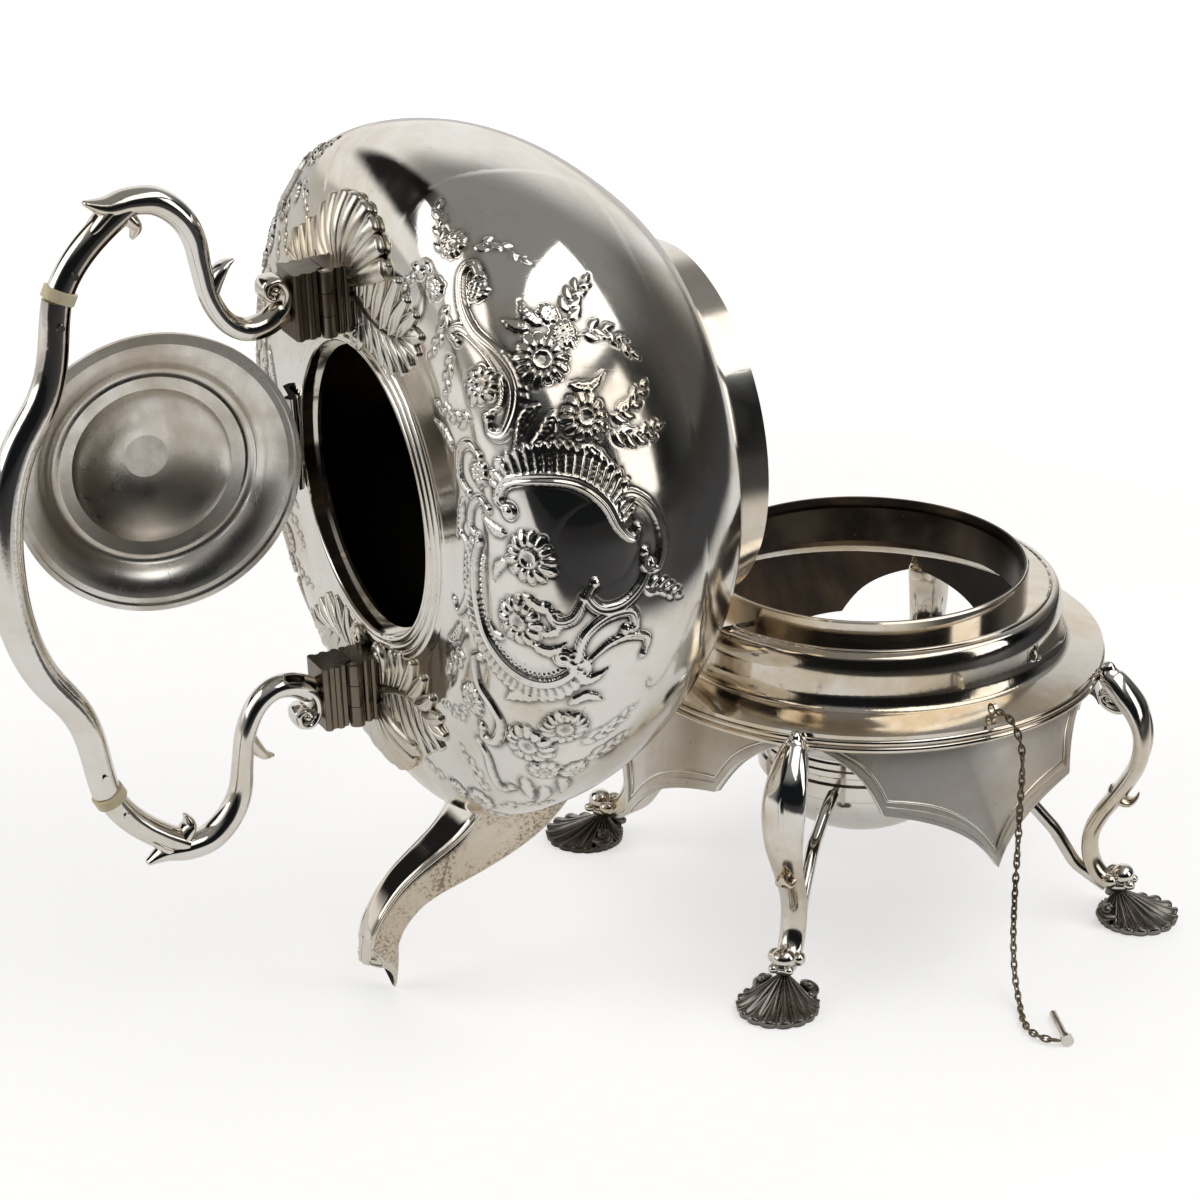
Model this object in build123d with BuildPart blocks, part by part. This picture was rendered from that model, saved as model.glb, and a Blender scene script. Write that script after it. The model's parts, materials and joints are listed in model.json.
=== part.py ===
from build123d import *
from math import cos, hypot, pi, radians, sin, tan
import os

# Spirit kettle on its stand, in millimetres.  Z is up, the floor is Z = 0 and the stand's axis is
# X = Y = 0.  The spout side is -X.  The kettle is drawn tipped forward about its front hinge pin,
# so that the spout tip touches the floor, with the lid open and the bail handle raised.

# ---- general clearances and stock ---------------------------------------------------------------
SHEET = 1.3              # wall of the raised sheet bodies
RUN_FIT = 0.05           # radial clearance of a pin in its knuckle
KNUCKLE_GAP = 0.25       # end gap between neighbouring knuckles
SEAT_GAP = 0.15          # gap between parts of different bodies that rest on each other
LOOSE = 0.6              # radial clearance of the foot ring round the collar

# ---- stand --------------------------------------------------------------------------------------
COLLAR_R = 54.6          # outside of the upright collar
SEAT_Z = 112.6           # ledge that carries the kettle
COLLAR_TOP = SEAT_Z + 6.6
LEDGE_R = COLLAR_R + 6.4
BEAD_R = LEDGE_R + 1.6
SHOULDER_R = BEAD_R + 3.6
FLANGE_R = SHOULDER_R + 14.2
FLANGE_Z = SEAT_Z - 21.4  # top of the flange at its edge
FLANGE_RISE = 2.6        # how much the flange climbs from its edge to the shoulder
EDGE_REED = 1.2          # radius of the two reeds round the flange
APRON_TOP_R = FLANGE_R - 6.8
APRON_TOP_Z = FLANGE_Z - 2.2
APRON_SEAT_Z = FLANGE_Z - 0.2  # where the aprons' upper edge lies against the flange's underside
APRON_TIP_R = APRON_TOP_R + 14.0
APRON_TIP_Z = 44.4
APRON_T = 1.4
APRON_CUSP = 35.0        # sideways distance of the side cusps from the tip
APRON_CUSP_Z = 64.4
APRON_KNEE = 50.8        # sideways distance of the aprons' upper corners
APRON_BORDER = 2.6       # width of the moulded border
BORDER_PROUD = 0.9
LEG_ANGLES = (45, 135, 225, 315)
APRON_ANGLES = (0, 90, 180, 270)
LEG_OUT = FLANGE_R - 80.4  # how far the legs stand out from their drawn outlines
FOOT_R = 98.2 + LEG_OUT  # radius of the feet's centres
FOOT_RAD = 14.2
FOOT_H = 11.0
BALL_R = 4.1
STRUT_R = 2.2
RING_R = 34.2            # outside of the burner ring
RING_TOP = 56.0
RING_H = 11.5

# ---- burner -------------------------------------------------------------------------------------
BOWL_R = 31.6
BOWL_LOW = 24.0
LIP_T = 1.8
WICK_R = 4.6
WICK_TUBE_R = 6.2
WICK_TUBE_H = 9.0
CAP_WALL = 1.0

# ---- hinge pins between kettle and stand --------------------------------------------------------
HINGE_X = SHOULDER_R + 1.3
HINGE_Z = SEAT_Z + 1.1
PIN_R = 1.2
PIN_SHAFT = 17.6
PIN_HEAD_R = 2.1
PIN_HEAD_T = 2.0
KNUCKLE_R = 2.4
KNUCKLE_L = 6.0          # length of each outer knuckle, the middle one is twice as long
HINGE_HALF = 3 * KNUCKLE_L
LEAF_T = 0.95
LEAF_GAP = 0.15          # from the hinge's middle to each leaf

# ---- kettle, in its own upright coordinates, heights from the foot ring's rim --------------------
TILT = 92.5              # angle from seated to the spout on the floor
FOOT_WALL = 2.2
BASE_H = 8.4             # underside of the body
BASE_R = COLLAR_R - 4.6
BELLY_R = 109.3
BELLY_H = 80.6
CROWN_H = 110.2          # flat crown round the mouth
MOUTH_R = 46.6
MOUTH_RIM = 8.0          # width of the reeded rim
NECK_DEPTH = 3.4
LID_FIT = 0.35
LID_OPEN = 98.0
LID_HINGE_Y = MOUTH_R - 0.4
LID_HINGE_UP = 4.2       # height of the lid's hinge over the crown
LID_HINGE_H = CROWN_H + LID_HINGE_UP
LID_KNUCKLE_R = 2.2
LID_BARREL = 31.0
LID_PIN_R = 1.0

# ---- handle -------------------------------------------------------------------------------------
BLOCK_X = MOUTH_R + 18.4  # centre of the hinge blocks
BLOCK_L = 21.0
BLOCK_W = 12.0
BLOCK_SPLIT = CROWN_H + 10.8  # height where the two leaves meet
BLOCK_TOP = BLOCK_SPLIT + 10.5
HANDLE_BARREL_R = 2.4
HANDLE_PIN_R = 1.1
TUBE_R = 4.3
GRIP_R = 5.8
IVORY_R = 5.3
GRIP_RISE = 95.5         # height of the grip's centre line over the blocks at mid span


# ---- places -------------------------------------------------------------------------------------
def turned_about(pivot, spin):
    """A turn by the angles spin about the point pivot."""
    back = Location((-pivot[0], -pivot[1], -pivot[2]))
    return Location(pivot) * Location((0, 0, 0), spin) * back


TIPPED = turned_about((-HINGE_X, 0, HINGE_Z), (0, -TILT, 0))
KETTLE = TIPPED * Location((0, 0, SEAT_Z))
LID = KETTLE * turned_about((0, LID_HINGE_Y, LID_HINGE_H), (-LID_OPEN, 0, 0))


def put(place, plane):
    """A plane carried along to a place."""
    return Plane(place * plane.location)


def level(place, height):
    """The level plane of a place, at a height."""
    return put(place, Plane.XY.offset(height))


def upright_axis(place):
    """The axis of turning of a place."""
    return Axis(level(place, 0).origin, level(place, 0).z_dir)


KETTLE_SIDE = put(KETTLE, Plane.XZ)
CROWN_SIDE = Plane(origin=(0, 0, CROWN_H), x_dir=(1, 0, 0), z_dir=(0, -1, 0))
CROWN_ACROSS = Plane(origin=(0, 0, CROWN_H), x_dir=(0, 1, 0), z_dir=(1, 0, 0))
KETTLE_AXIS = upright_axis(KETTLE)
LID_AXIS = upright_axis(LID)


def radial(angle, distance=0):
    """The upright plane through the stand's axis: x runs outwards from a distance, y up."""
    out = (cos(radians(angle)), sin(radians(angle)), 0)
    return Plane(origin=(out[0] * distance, out[1] * distance, 0), x_dir=out,
                 z_dir=(out[1], -out[0], 0))


def facing(angle, distance):
    """An upright plane that faces outwards at a distance: x runs sideways, y up."""
    out = (cos(radians(angle)), sin(radians(angle)), 0)
    return Plane(origin=(out[0] * distance, out[1] * distance, 0),
                 x_dir=(-out[1], out[0], 0), z_dir=out)


written = []


def write(builder, name):
    """Label a finished piece and write it to its own file."""
    builder.part.label = name
    export_step(builder.part, "parts/" + name + ".step")
    written.append(name)


os.makedirs("parts", exist_ok=True)

# ================================ STAND ==========================================================
FLANGE_IN = SHOULDER_R + 3.2
SHOULDER_LOW = 100.0

with BuildPart() as stand_body:
    with BuildSketch(Plane.XZ):
        with BuildLine():
            ledge = Line((COLLAR_R - SHEET, SEAT_Z), (LEDGE_R, SEAT_Z))
            bead = ThreePointArc(ledge @ 1, ((LEDGE_R + BEAD_R) / 2, SEAT_Z + 0.5), (BEAD_R, SEAT_Z - 0.4))
            crest = Spline(bead @ 1, (SHOULDER_R - 0.8, SEAT_Z - 3.0), (SHOULDER_R, SEAT_Z - 6.4),
                           (SHOULDER_R, SHOULDER_LOW), tangents=((1, -0.1), (0, -1)))
            flare = Spline(crest @ 1, (SHOULDER_R + 0.9, SHOULDER_LOW - 4),
                           (FLANGE_IN, FLANGE_Z + FLANGE_RISE), tangents=((0, -1), (1, -0.2)))
            flange_top = Line(flare @ 1, (FLANGE_R, FLANGE_Z))
            edge = Line(flange_top @ 1, (FLANGE_R, FLANGE_Z - SHEET))
            flange_under = Line(edge @ 1, (FLANGE_IN - 0.6, FLANGE_Z + FLANGE_RISE - SHEET - 0.2))
            flare_in = Spline(flange_under @ 1, (SHOULDER_R - SHEET + 0.7, SHOULDER_LOW - 4.6),
                              (SHOULDER_R - SHEET, SHOULDER_LOW), tangents=((-1, 0.3), (0, 1)))
            crest_in = Spline(flare_in @ 1, (SHOULDER_R - SHEET, SEAT_Z - 6.6),
                              (SHOULDER_R - SHEET - 0.9, SEAT_Z - 4.0),
                              (BEAD_R - 0.6, SEAT_Z - SHEET - 0.5),
                              tangents=((0, 1), (-1, 0.3)))
            ledge_in = Line(crest_in @ 1, (COLLAR_R - SHEET, SEAT_Z - SHEET))
            Line(ledge_in @ 1, ledge @ 0)
        make_face()
    revolve(axis=Axis.Z)
write(stand_body, "stand_body")

# The upright collar stands on the ledge and the kettle's foot ring drops over it.
COLLAR_T = 1.5
with BuildPart() as collar:
    with BuildSketch(Plane.XZ):
        with BuildLine():
            Polyline((COLLAR_R - COLLAR_T, SEAT_Z), (COLLAR_R, SEAT_Z), (COLLAR_R, COLLAR_TOP - 0.5),
                     (COLLAR_R - 0.5, COLLAR_TOP), (COLLAR_R - COLLAR_T, COLLAR_TOP), close=True)
        make_face()
    revolve(axis=Axis.Z)
write(collar, "collar")

# An inner sleeve lines the collar and stops the draught at the ledge.
SLEEVE_TOP = COLLAR_TOP - 3.4
SLEEVE_LOW = SEAT_Z - 9.0
with BuildPart() as collar_sleeve:
    with BuildSketch(Plane.XZ):
        with BuildLine():
            Polyline((COLLAR_R - COLLAR_T - 1.2, SLEEVE_LOW), (COLLAR_R - COLLAR_T, SLEEVE_LOW),
                     (COLLAR_R - COLLAR_T, SLEEVE_TOP), (COLLAR_R - COLLAR_T - 1.2, SLEEVE_TOP), close=True)
        make_face()
    revolve(axis=Axis.Z)
write(collar_sleeve, "collar_sleeve")

# Two reeds run round the flange, one below the other, under its edge.
REED_WEB = 1.6
with BuildPart() as flange_reeds:
    with BuildSketch(Plane.XZ):
        for row in (0, 1):
            with Locations((FLANGE_R - EDGE_REED / 2, FLANGE_Z - SHEET - (2 * row + 1) * EDGE_REED)):
                Circle(EDGE_REED)
        with Locations((FLANGE_R - EDGE_REED, FLANGE_Z - SHEET - 2 * EDGE_REED)):
            Rectangle(REED_WEB, 4 * EDGE_REED)
    revolve(axis=Axis.Z)
write(flange_reeds, "flange_reeds")


# Four apron plates hang below the flange, each with a pointed tip and an ogee lower edge.
def apron_outline(inset):
    """The closed outline of an apron as seen from outside, its lower edge moved up by inset."""
    tip = (0, APRON_TIP_Z + 1.3 * inset)
    cusp = (APRON_CUSP - 0.4 * inset, APRON_CUSP_Z + inset)
    knee = (APRON_KNEE - inset, APRON_TOP_Z - 4.5)
    scoop = (0.48 * cusp[0], cusp[1] - 5.0 + 0.3 * inset)
    arch = (0.62 * cusp[0] + 0.38 * knee[0] - 1.2, 0.45 * cusp[1] + 0.55 * knee[1])
    top = APRON_TOP_Z + 4
    with BuildLine() as outline:
        for side in (1, -1):
            Spline(tip, (side * scoop[0], scoop[1]), (side * cusp[0], cusp[1]),
                   tangents=((0.55 * side, 1), (side, 0.12)))
            Spline((side * cusp[0], cusp[1]), (side * arch[0], arch[1]), (side * knee[0], knee[1]),
                   tangents=((0.32 * side, 1), (0.9 * side, 0.5)))
            Line((side * knee[0], knee[1]), (side * knee[0], top))
        Line((knee[0], top), (-knee[0], top))
    return outline.line


def apron_section(inner, outer):
    """Section of the flared apron wall between two offsets from its middle."""
    slope = (APRON_TIP_R - APRON_TOP_R) / (APRON_TOP_Z - APRON_TIP_Z)
    top_r = APRON_TOP_R - slope * (APRON_SEAT_Z - APRON_TOP_Z)
    low_r = APRON_TIP_R + 4 * slope
    with BuildLine() as outline:
        Polyline((top_r + inner, APRON_SEAT_Z), (top_r + outer, APRON_SEAT_Z),
                 (low_r + outer, APRON_TIP_Z - 4), (low_r + inner, APRON_TIP_Z - 4), close=True)
    return outline.line


APRON_NAMES = ("rear", "far", "front", "near")
for name, angle in zip(APRON_NAMES, APRON_ANGLES):
    with BuildPart() as border:
        with BuildSketch(Plane.XZ):
            add(apron_section(0, APRON_T / 2 + BORDER_PROUD))
            make_face()
        revolve(axis=Axis.Z)
        with BuildSketch(facing(angle, 40)):
            add(apron_outline(APRON_BORDER))
            make_face()
        extrude(amount=70, mode=Mode.SUBTRACT)
    with BuildPart() as apron:
        with BuildSketch(Plane.XZ):
            add(apron_section(-APRON_T / 2, APRON_T / 2))
            make_face()
        revolve(axis=Axis.Z)
        add(border.part)
        with BuildSketch(facing(angle, 40)):
            add(apron_outline(0))
            make_face()
        extrude(amount=70, mode=Mode.INTERSECT)
    write(apron, "apron_" + name)


# Four cast legs: a strap that bows out from the flange and scrolls in again to a shell foot.
def leg_side():
    """The leg's side outline in its own upright plane."""
    outer = [(81.0, 93.4), (86.6, 87.2), (93.8, 81.6), (98.2, 75.0), (99.3, 68.2), (97.6, 58.4),
             (93.2, 49.6), (88.4, 42.4), (84.2, 36.0), (82.0, 27.6), (83.4, 18.8), (88.6, 13.4)]
    inner = [(89.5, 9.6), (84.6, 11.4), (80.4, 17.8), (78.8, 26.4), (79.6, 34.6), (83.4, 43.6),
             (88.6, 52.4), (92.6, 60.4), (94.4, 68.0), (93.0, 75.2), (88.4, 79.8), (82.4, 80.2)]
    with BuildLine() as outline:
        front = Spline(*outer)
        toe = Line(front @ 1, (94.0, 13.0))
        sole = Line(toe @ 1, (94.0, 9.6))
        Line(sole @ 1, inner[0])
        back = Spline(*inner)
        Polyline(back @ 1, (81.0, 84.0), front @ 0)
    return outline.line


def leg_front():
    """The leg's outline seen from outside: half widths up its height."""
    half = [(3.0, 94.0), (4.4, 88.0), (6.6, 81.0), (7.3, 74.0), (7.0, 66.0), (6.0, 57.0),
            (5.1, 49.0), (4.7, 40.0), (4.4, 28.0), (4.3, 16.0), (4.3, 9.0)]
    with BuildLine() as outline:
        for side in (1, -1):
            Spline(*[(side * x, z) for x, z in half])
        Line((half[0][0], half[0][1]), (-half[0][0], half[0][1]))
        Line((half[-1][0], half[-1][1]), (-half[-1][0], half[-1][1]))
    return outline.line


def beside(points, distances):
    """Points moved to their left, seen along the way, by one distance each."""
    moved = []
    for index, (x, y) in enumerate(points):
        before = points[max(index - 1, 0)]
        after = points[min(index + 1, len(points) - 1)]
        run = hypot(after[0] - before[0], after[1] - before[1])
        step = distances[index] / run
        moved.append((x - step * (after[1] - before[1]), y + step * (after[0] - before[0])))
    return moved


def strap(points, widths):
    """Closed outline of a band that follows points, with its width at each of them."""
    left = beside(points, [width / 2 for width in widths])
    right = beside(points, [-width / 2 for width in widths])
    with BuildLine() as outline:
        Spline(*left)
        Spline(*right)
        Line(left[0], right[0])
        Line(left[-1], right[-1])
    return outline.line


VOLUTE = (83.9, 78.2)
VOLUTE_R = 2.8
SPUR_TIP = (94.6, 42.8)
LEG_NAMES = ("rear_far", "front_far", "front_near", "rear_near")
legs = []
for name, angle in zip(LEG_NAMES, LEG_ANGLES):
    plane = radial(angle, LEG_OUT)
    with BuildPart() as leg:
        with BuildSketch(plane):
            add(leg_side())
            make_face()
        extrude(amount=8.0, both=True)
        with BuildSketch(plane):
            with BuildLine():
                Polyline((86.0, 47.4), (91.6, 45.4), SPUR_TIP, (89.6, 41.2), (84.0, 39.8), close=True)
            make_face()
        extrude(amount=3.0, both=True)
        with BuildSketch(facing(angle, 60)):
            add(leg_front())
            make_face()
        extrude(amount=60, mode=Mode.INTERSECT)
        with BuildSketch(plane):
            with Locations(VOLUTE):
                Circle(VOLUTE_R)
        extrude(amount=5.0, both=True)
        with BuildSketch(Plane.XY.offset(60)):
            Circle(FLANGE_R + EDGE_REED / 2)
        extrude(amount=60, mode=Mode.SUBTRACT)
    legs.append(leg)
    write(leg, "leg_" + name)

# Each leg ends in a ball on a ribbed shell, domed and flat underneath.
RIBS = 13
BALL_Z = FOOT_H + 5.6
for name, angle, leg in zip(LEG_NAMES, LEG_ANGLES, legs):
    out = (cos(radians(angle)), sin(radians(angle)), 0)
    centre = Location(Plane(origin=(FOOT_R * out[0], FOOT_R * out[1], 0), x_dir=out, z_dir=(0, 0, 1)))
    with BuildPart() as foot:
        with BuildSketch(put(centre, Plane.XZ)):
            with BuildLine():
                Polyline((0, 0), (FOOT_RAD - 1.0, 0), (FOOT_RAD, 1.2), (FOOT_RAD, 3.6))
                Spline((FOOT_RAD, 3.6), (0.62 * FOOT_RAD, 0.7 * FOOT_H), (4.4, FOOT_H + 1.2))
                Polyline((4.4, FOOT_H + 1.2), (0, FOOT_H + 1.6), (0, 0))
            make_face()
        revolve(axis=upright_axis(centre))
        with BuildSketch(level(centre, 0)):
            Circle(FOOT_RAD - 1.8)
            with PolarLocations(FOOT_RAD - 2.1, RIBS):
                Circle(2.9)
        extrude(amount=30, mode=Mode.INTERSECT)
        with BuildSketch(put(centre, Plane.XZ)):
            with BuildLine():
                CenterArc((0, BALL_Z), BALL_R, -90, 180)
                Line((0, BALL_Z + BALL_R), (0, BALL_Z - BALL_R))
            make_face()
        revolve(axis=upright_axis(centre))
        add(leg.part, mode=Mode.SUBTRACT)
    write(foot, "foot_" + name)

# The burner ring hangs on four rods that spring from the lower legs.
RING_IN = BOWL_R + 0.35
with BuildPart() as burner_ring:
    with BuildSketch(Plane.XZ):
        with BuildLine():
            Polyline((RING_IN, RING_TOP), (RING_R - 0.6, RING_TOP), (RING_R, RING_TOP - 0.6),
                     (RING_R, RING_TOP - 2.4), (RING_R - 0.8, RING_TOP - 3.2),
                     (RING_R - 0.8, RING_TOP - 5.0),
                     (RING_R, RING_TOP - 5.8), (RING_R, RING_TOP - RING_H + 0.6),
                     (RING_R - 0.6, RING_TOP - RING_H), (RING_IN, RING_TOP - RING_H), close=True)
        make_face()
    revolve(axis=Axis.Z)
write(burner_ring, "burner_ring")

STRUT_PATH = [(RING_R - 1.0, 47.0), (RING_R + 11.8, 44.4), (58.0, 39.6), (68.4 + LEG_OUT, 29.0),
              (76.0 + LEG_OUT, 17.4), (87.0 + LEG_OUT, 10.6)]
STRUT_BENDS = [18, 18, 18, 12]
for name, angle, leg in zip(LEG_NAMES, LEG_ANGLES, legs):
    plane = radial(angle)
    with BuildPart() as strut:
        with BuildLine(plane) as route:
            FilletPolyline(*STRUT_PATH, radius=STRUT_BENDS)
        with BuildSketch(Plane(origin=route.line @ 0, z_dir=route.line % 0)):
            Circle(STRUT_R)
        sweep()
        with BuildSketch(Plane.XY):
            Circle(RING_R)
        extrude(amount=80, mode=Mode.SUBTRACT)
        add(leg.part, mode=Mode.SUBTRACT)
    write(strut, "burner_rod_" + name)

# ================================ BURNER =========================================================
BOWL_WALL = 1.0
LIP_R = RING_R - 0.4
LIP_Z = RING_TOP + SEAT_GAP
with BuildPart() as burner_bowl:
    with BuildSketch(Plane.XZ):
        with BuildLine():
            outer = Spline((BOWL_R, RING_TOP - RING_H - 1), (0.86 * BOWL_R, 33.0), (0.5 * BOWL_R, 26.0),
                           (0, BOWL_LOW), tangents=((0, -1), (-1, 0)))
            Line(outer @ 1, (0, BOWL_LOW + BOWL_WALL))
            inner = Spline((0, BOWL_LOW + BOWL_WALL), (0.5 * BOWL_R - 0.4, 27.0),
                           (0.86 * BOWL_R - 0.8, 33.6), (BOWL_R - BOWL_WALL, RING_TOP - RING_H - 1),
                           tangents=((1, 0), (0, 1)))
            Polyline(inner @ 1, (BOWL_R - BOWL_WALL, LIP_Z + LIP_T), (LIP_R, LIP_Z + LIP_T), (LIP_R, LIP_Z),
                     (BOWL_R, LIP_Z), outer @ 0)
        make_face()
    revolve(axis=Axis.Z)
write(burner_bowl, "burner_bowl")

COVER_T = 1.0
COVER_Z = LIP_Z + LIP_T
TUBE_TOP = COVER_Z + WICK_TUBE_H
with BuildPart() as burner_cover:
    with BuildSketch(Plane.XZ):
        with BuildLine():
            dome = Spline((LIP_R - 1.0, COVER_Z), (0.6 * LIP_R, COVER_Z + 1.6),
                          (WICK_TUBE_R, COVER_Z + 2.6))
            Line(dome @ 1, (WICK_TUBE_R, COVER_Z + 2.6 + COVER_T))
            top = Spline((WICK_TUBE_R, COVER_Z + 2.6 + COVER_T), (0.6 * LIP_R, COVER_Z + 1.7 + COVER_T),
                         (LIP_R - 1.0, COVER_Z + COVER_T))
            Line(top @ 1, dome @ 0)
        make_face()
    revolve(axis=Axis.Z)
write(burner_cover, "burner_cover")

WICK_LOW = BOWL_LOW + 4.0
with BuildPart() as wick_tube:
    with BuildSketch(Plane.XY.offset(COVER_Z - 6)):
        Circle(WICK_TUBE_R)
        Circle(WICK_R + 0.3, mode=Mode.SUBTRACT)
    extrude(amount=TUBE_TOP - COVER_Z + 6)
write(wick_tube, "wick_tube")

with BuildPart() as wick:
    with BuildSketch(Plane.XY.offset(WICK_LOW)):
        Circle(WICK_R)
    extrude(amount=TUBE_TOP + 1.4 - WICK_LOW)
write(wick, "wick")

CAP_IN = WICK_TUBE_R + 0.4
CAP_LOW = COVER_Z + 2.6 + COVER_T + SEAT_GAP
CAP_TOP = TUBE_TOP + 3.4
KNOB_R = 2.6
with BuildPart() as snuffer_cap:
    with BuildSketch(Plane.XZ):
        with BuildLine():
            Polyline((CAP_IN, CAP_LOW), (CAP_IN + CAP_WALL, CAP_LOW), (CAP_IN + CAP_WALL, CAP_TOP),
                     (CAP_IN - 2.0, CAP_TOP + CAP_WALL), (1.4, CAP_TOP + CAP_WALL + 0.4),
                     (1.4, CAP_TOP + CAP_WALL + 1.6), (KNOB_R, CAP_TOP + CAP_WALL + 2.8),
                     (KNOB_R - 0.6, CAP_TOP + CAP_WALL + 4.4), (0, CAP_TOP + CAP_WALL + 5.0), (0, CAP_TOP),
                     (CAP_IN, CAP_TOP - 0.4), close=True)
        make_face()
    revolve(axis=Axis.Z)
write(snuffer_cap, "snuffer_cap")
# ================================ TIPPING HINGE ==================================================
# Two leaves lie one over the other in front of the collar.  The stand's leaf carries the outer and
# the middle knuckles, the kettle's leaf the two between them.
AXIS_H = HINGE_Z - SEAT_Z
BORE_R = PIN_R + RUN_FIT
KNUCKLE_ROOM = 2 * (KNUCKLE_R + 0.4)
with BuildPart() as stand_leaf:
    with BuildSketch(Plane.XZ):
        with BuildLine():
            Polyline((-HINGE_X, SEAT_Z), (6.6 - COLLAR_R, SEAT_Z), (6.6 - COLLAR_R, HINGE_Z - LEAF_GAP),
                     (-HINGE_X, HINGE_Z - LEAF_GAP), close=True)
        make_face()
        with Locations((-HINGE_X, HINGE_Z)):
            Circle(KNUCKLE_R)
    extrude(amount=HINGE_HALF, both=True)
    with BuildSketch(Plane.XY.offset(HINGE_Z - 5)):
        with Locations((-HINGE_X, 1.5 * KNUCKLE_L), (-HINGE_X, -1.5 * KNUCKLE_L)):
            Rectangle(KNUCKLE_ROOM, KNUCKLE_L + KNUCKLE_GAP)
        Circle(COLLAR_R)
    extrude(amount=10, mode=Mode.SUBTRACT)
    with BuildSketch(Plane.XZ):
        with Locations((-HINGE_X, HINGE_Z)):
            Circle(BORE_R)
    extrude(amount=HINGE_HALF + 1, both=True, mode=Mode.SUBTRACT)
    add(stand_body.part, mode=Mode.SUBTRACT)
write(stand_leaf, "stand_hinge_leaf")

with BuildPart() as kettle_leaf:
    with BuildSketch(KETTLE_SIDE):
        with BuildLine():
            Polyline((-HINGE_X, AXIS_H + LEAF_GAP), (6.6 - COLLAR_R, AXIS_H + LEAF_GAP),
                     (6.6 - COLLAR_R, AXIS_H + LEAF_GAP + LEAF_T),
                     (-HINGE_X, AXIS_H + LEAF_GAP + LEAF_T), close=True)
        make_face()
        with Locations((-HINGE_X, AXIS_H)):
            Circle(KNUCKLE_R)
    extrude(amount=2 * KNUCKLE_L - KNUCKLE_GAP / 2, both=True)
    with BuildSketch(level(KETTLE, AXIS_H - 5)):
        with Locations((-HINGE_X, 0)):
            Rectangle(KNUCKLE_ROOM, 2 * KNUCKLE_L + KNUCKLE_GAP)
        Circle(COLLAR_R + LOOSE)
    extrude(amount=10, mode=Mode.SUBTRACT)
    with BuildSketch(KETTLE_SIDE):
        with Locations((-HINGE_X, AXIS_H)):
            Circle(BORE_R)
    extrude(amount=HINGE_HALF, both=True, mode=Mode.SUBTRACT)
write(kettle_leaf, "kettle_hinge_leaf")

# The far pin is in its place, the near one is drawn and lies on the floor at the end of its chain.
HEAD_SEAT = HINGE_HALF + SEAT_GAP
LOOSE_HEAD = (1.2, -130.4, PIN_HEAD_R + 0.05)
LOOSE_TIP = (7.4, -112.6, PIN_R + 0.05)


def pin(plane):
    """A headed pin: its shaft runs along the plane's normal, its head lies behind the plane."""
    with BuildPart() as shape:
        with BuildSketch(plane):
            Circle(PIN_R)
        extrude(amount=PIN_SHAFT)
        with BuildSketch(plane):
            Circle(PIN_HEAD_R)
        extrude(amount=-PIN_HEAD_T)
    return shape


hinge_pin = pin(Plane(origin=(-HINGE_X, HEAD_SEAT, HINGE_Z), x_dir=(1, 0, 0), z_dir=(0, -1, 0)))
write(hinge_pin, "hinge_pin")
loose_run = [tip - head for tip, head in zip(LOOSE_TIP, LOOSE_HEAD)]
loose_pin = pin(Plane(origin=LOOSE_HEAD, z_dir=tuple(loose_run)))
write(loose_pin, "loose_pin")

# ================================ PIN CHAIN ======================================================
CHAIN_R = 1.1
EYE_ANGLE = 272.5
EYE_R = FLANGE_R - 3.6
EYE_Z = FLANGE_Z + 2.2
with BuildPart() as chain_eyelet:
    with BuildSketch(radial(EYE_ANGLE)):
        with Locations((EYE_R, EYE_Z + 1.2)):
            Circle(2.2)
        with Locations((EYE_R, EYE_Z - 0.5)):
            Rectangle(2.4, 2.6)
        with Locations((EYE_R, EYE_Z + 1.2)):
            Circle(1.2, mode=Mode.SUBTRACT)
    extrude(amount=0.6, both=True)
    add(stand_body.part, mode=Mode.SUBTRACT)
write(chain_eyelet, "chain_eyelet")

CHAIN = [(3.46, -79.05, 94.8), (3.85, -83.6, 95.4), (4.4, -88.0, 93.4), (4.9, -90.9, 89.2),
         (5.3, -92.0, 84.0), (5.6, -91.8, 76.4), (5.75, -91.1, 66.6), (5.6, -91.3, 55.6),
         (5.45, -91.1, 44.0), (5.2, -91.3, 32.0), (4.9, -91.8, 22.4), (4.3, -93.4, 14.6),
         (3.2, -96.3, 8.2), (1.8, -100.4, 4.0), (0.0, -105.0, 1.9), (-2.6, -110.2, 1.25),
         (-4.7, -115.2, 1.5), (-5.8, -120.0, 1.3), (-5.4, -124.6, 1.7), (-3.9, -128.2, 1.8),
         (-1.3, -130.5, 2.1)]


def arc_radii(points):
    """The largest arc at each corner of a cord's route, given its two runs."""
    radii = []
    for before, here, after in zip(points, points[1:], points[2:]):
        first = Vector(here) - Vector(before)
        second = Vector(after) - Vector(here)
        turn = radians(first.get_angle(second))
        radii.append(0.45 * min(first.length, second.length) / tan(turn / 2))
    return radii


chain_radii = arc_radii(CHAIN)
with BuildPart() as pin_chain:
    with BuildLine() as chain_line:
        FilletPolyline(*CHAIN, radius=chain_radii)
    with BuildSketch(Plane(origin=chain_line.line @ 0, z_dir=chain_line.line % 0)):
        Circle(CHAIN_R)
    sweep()
write(pin_chain, "pin_chain")

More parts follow.
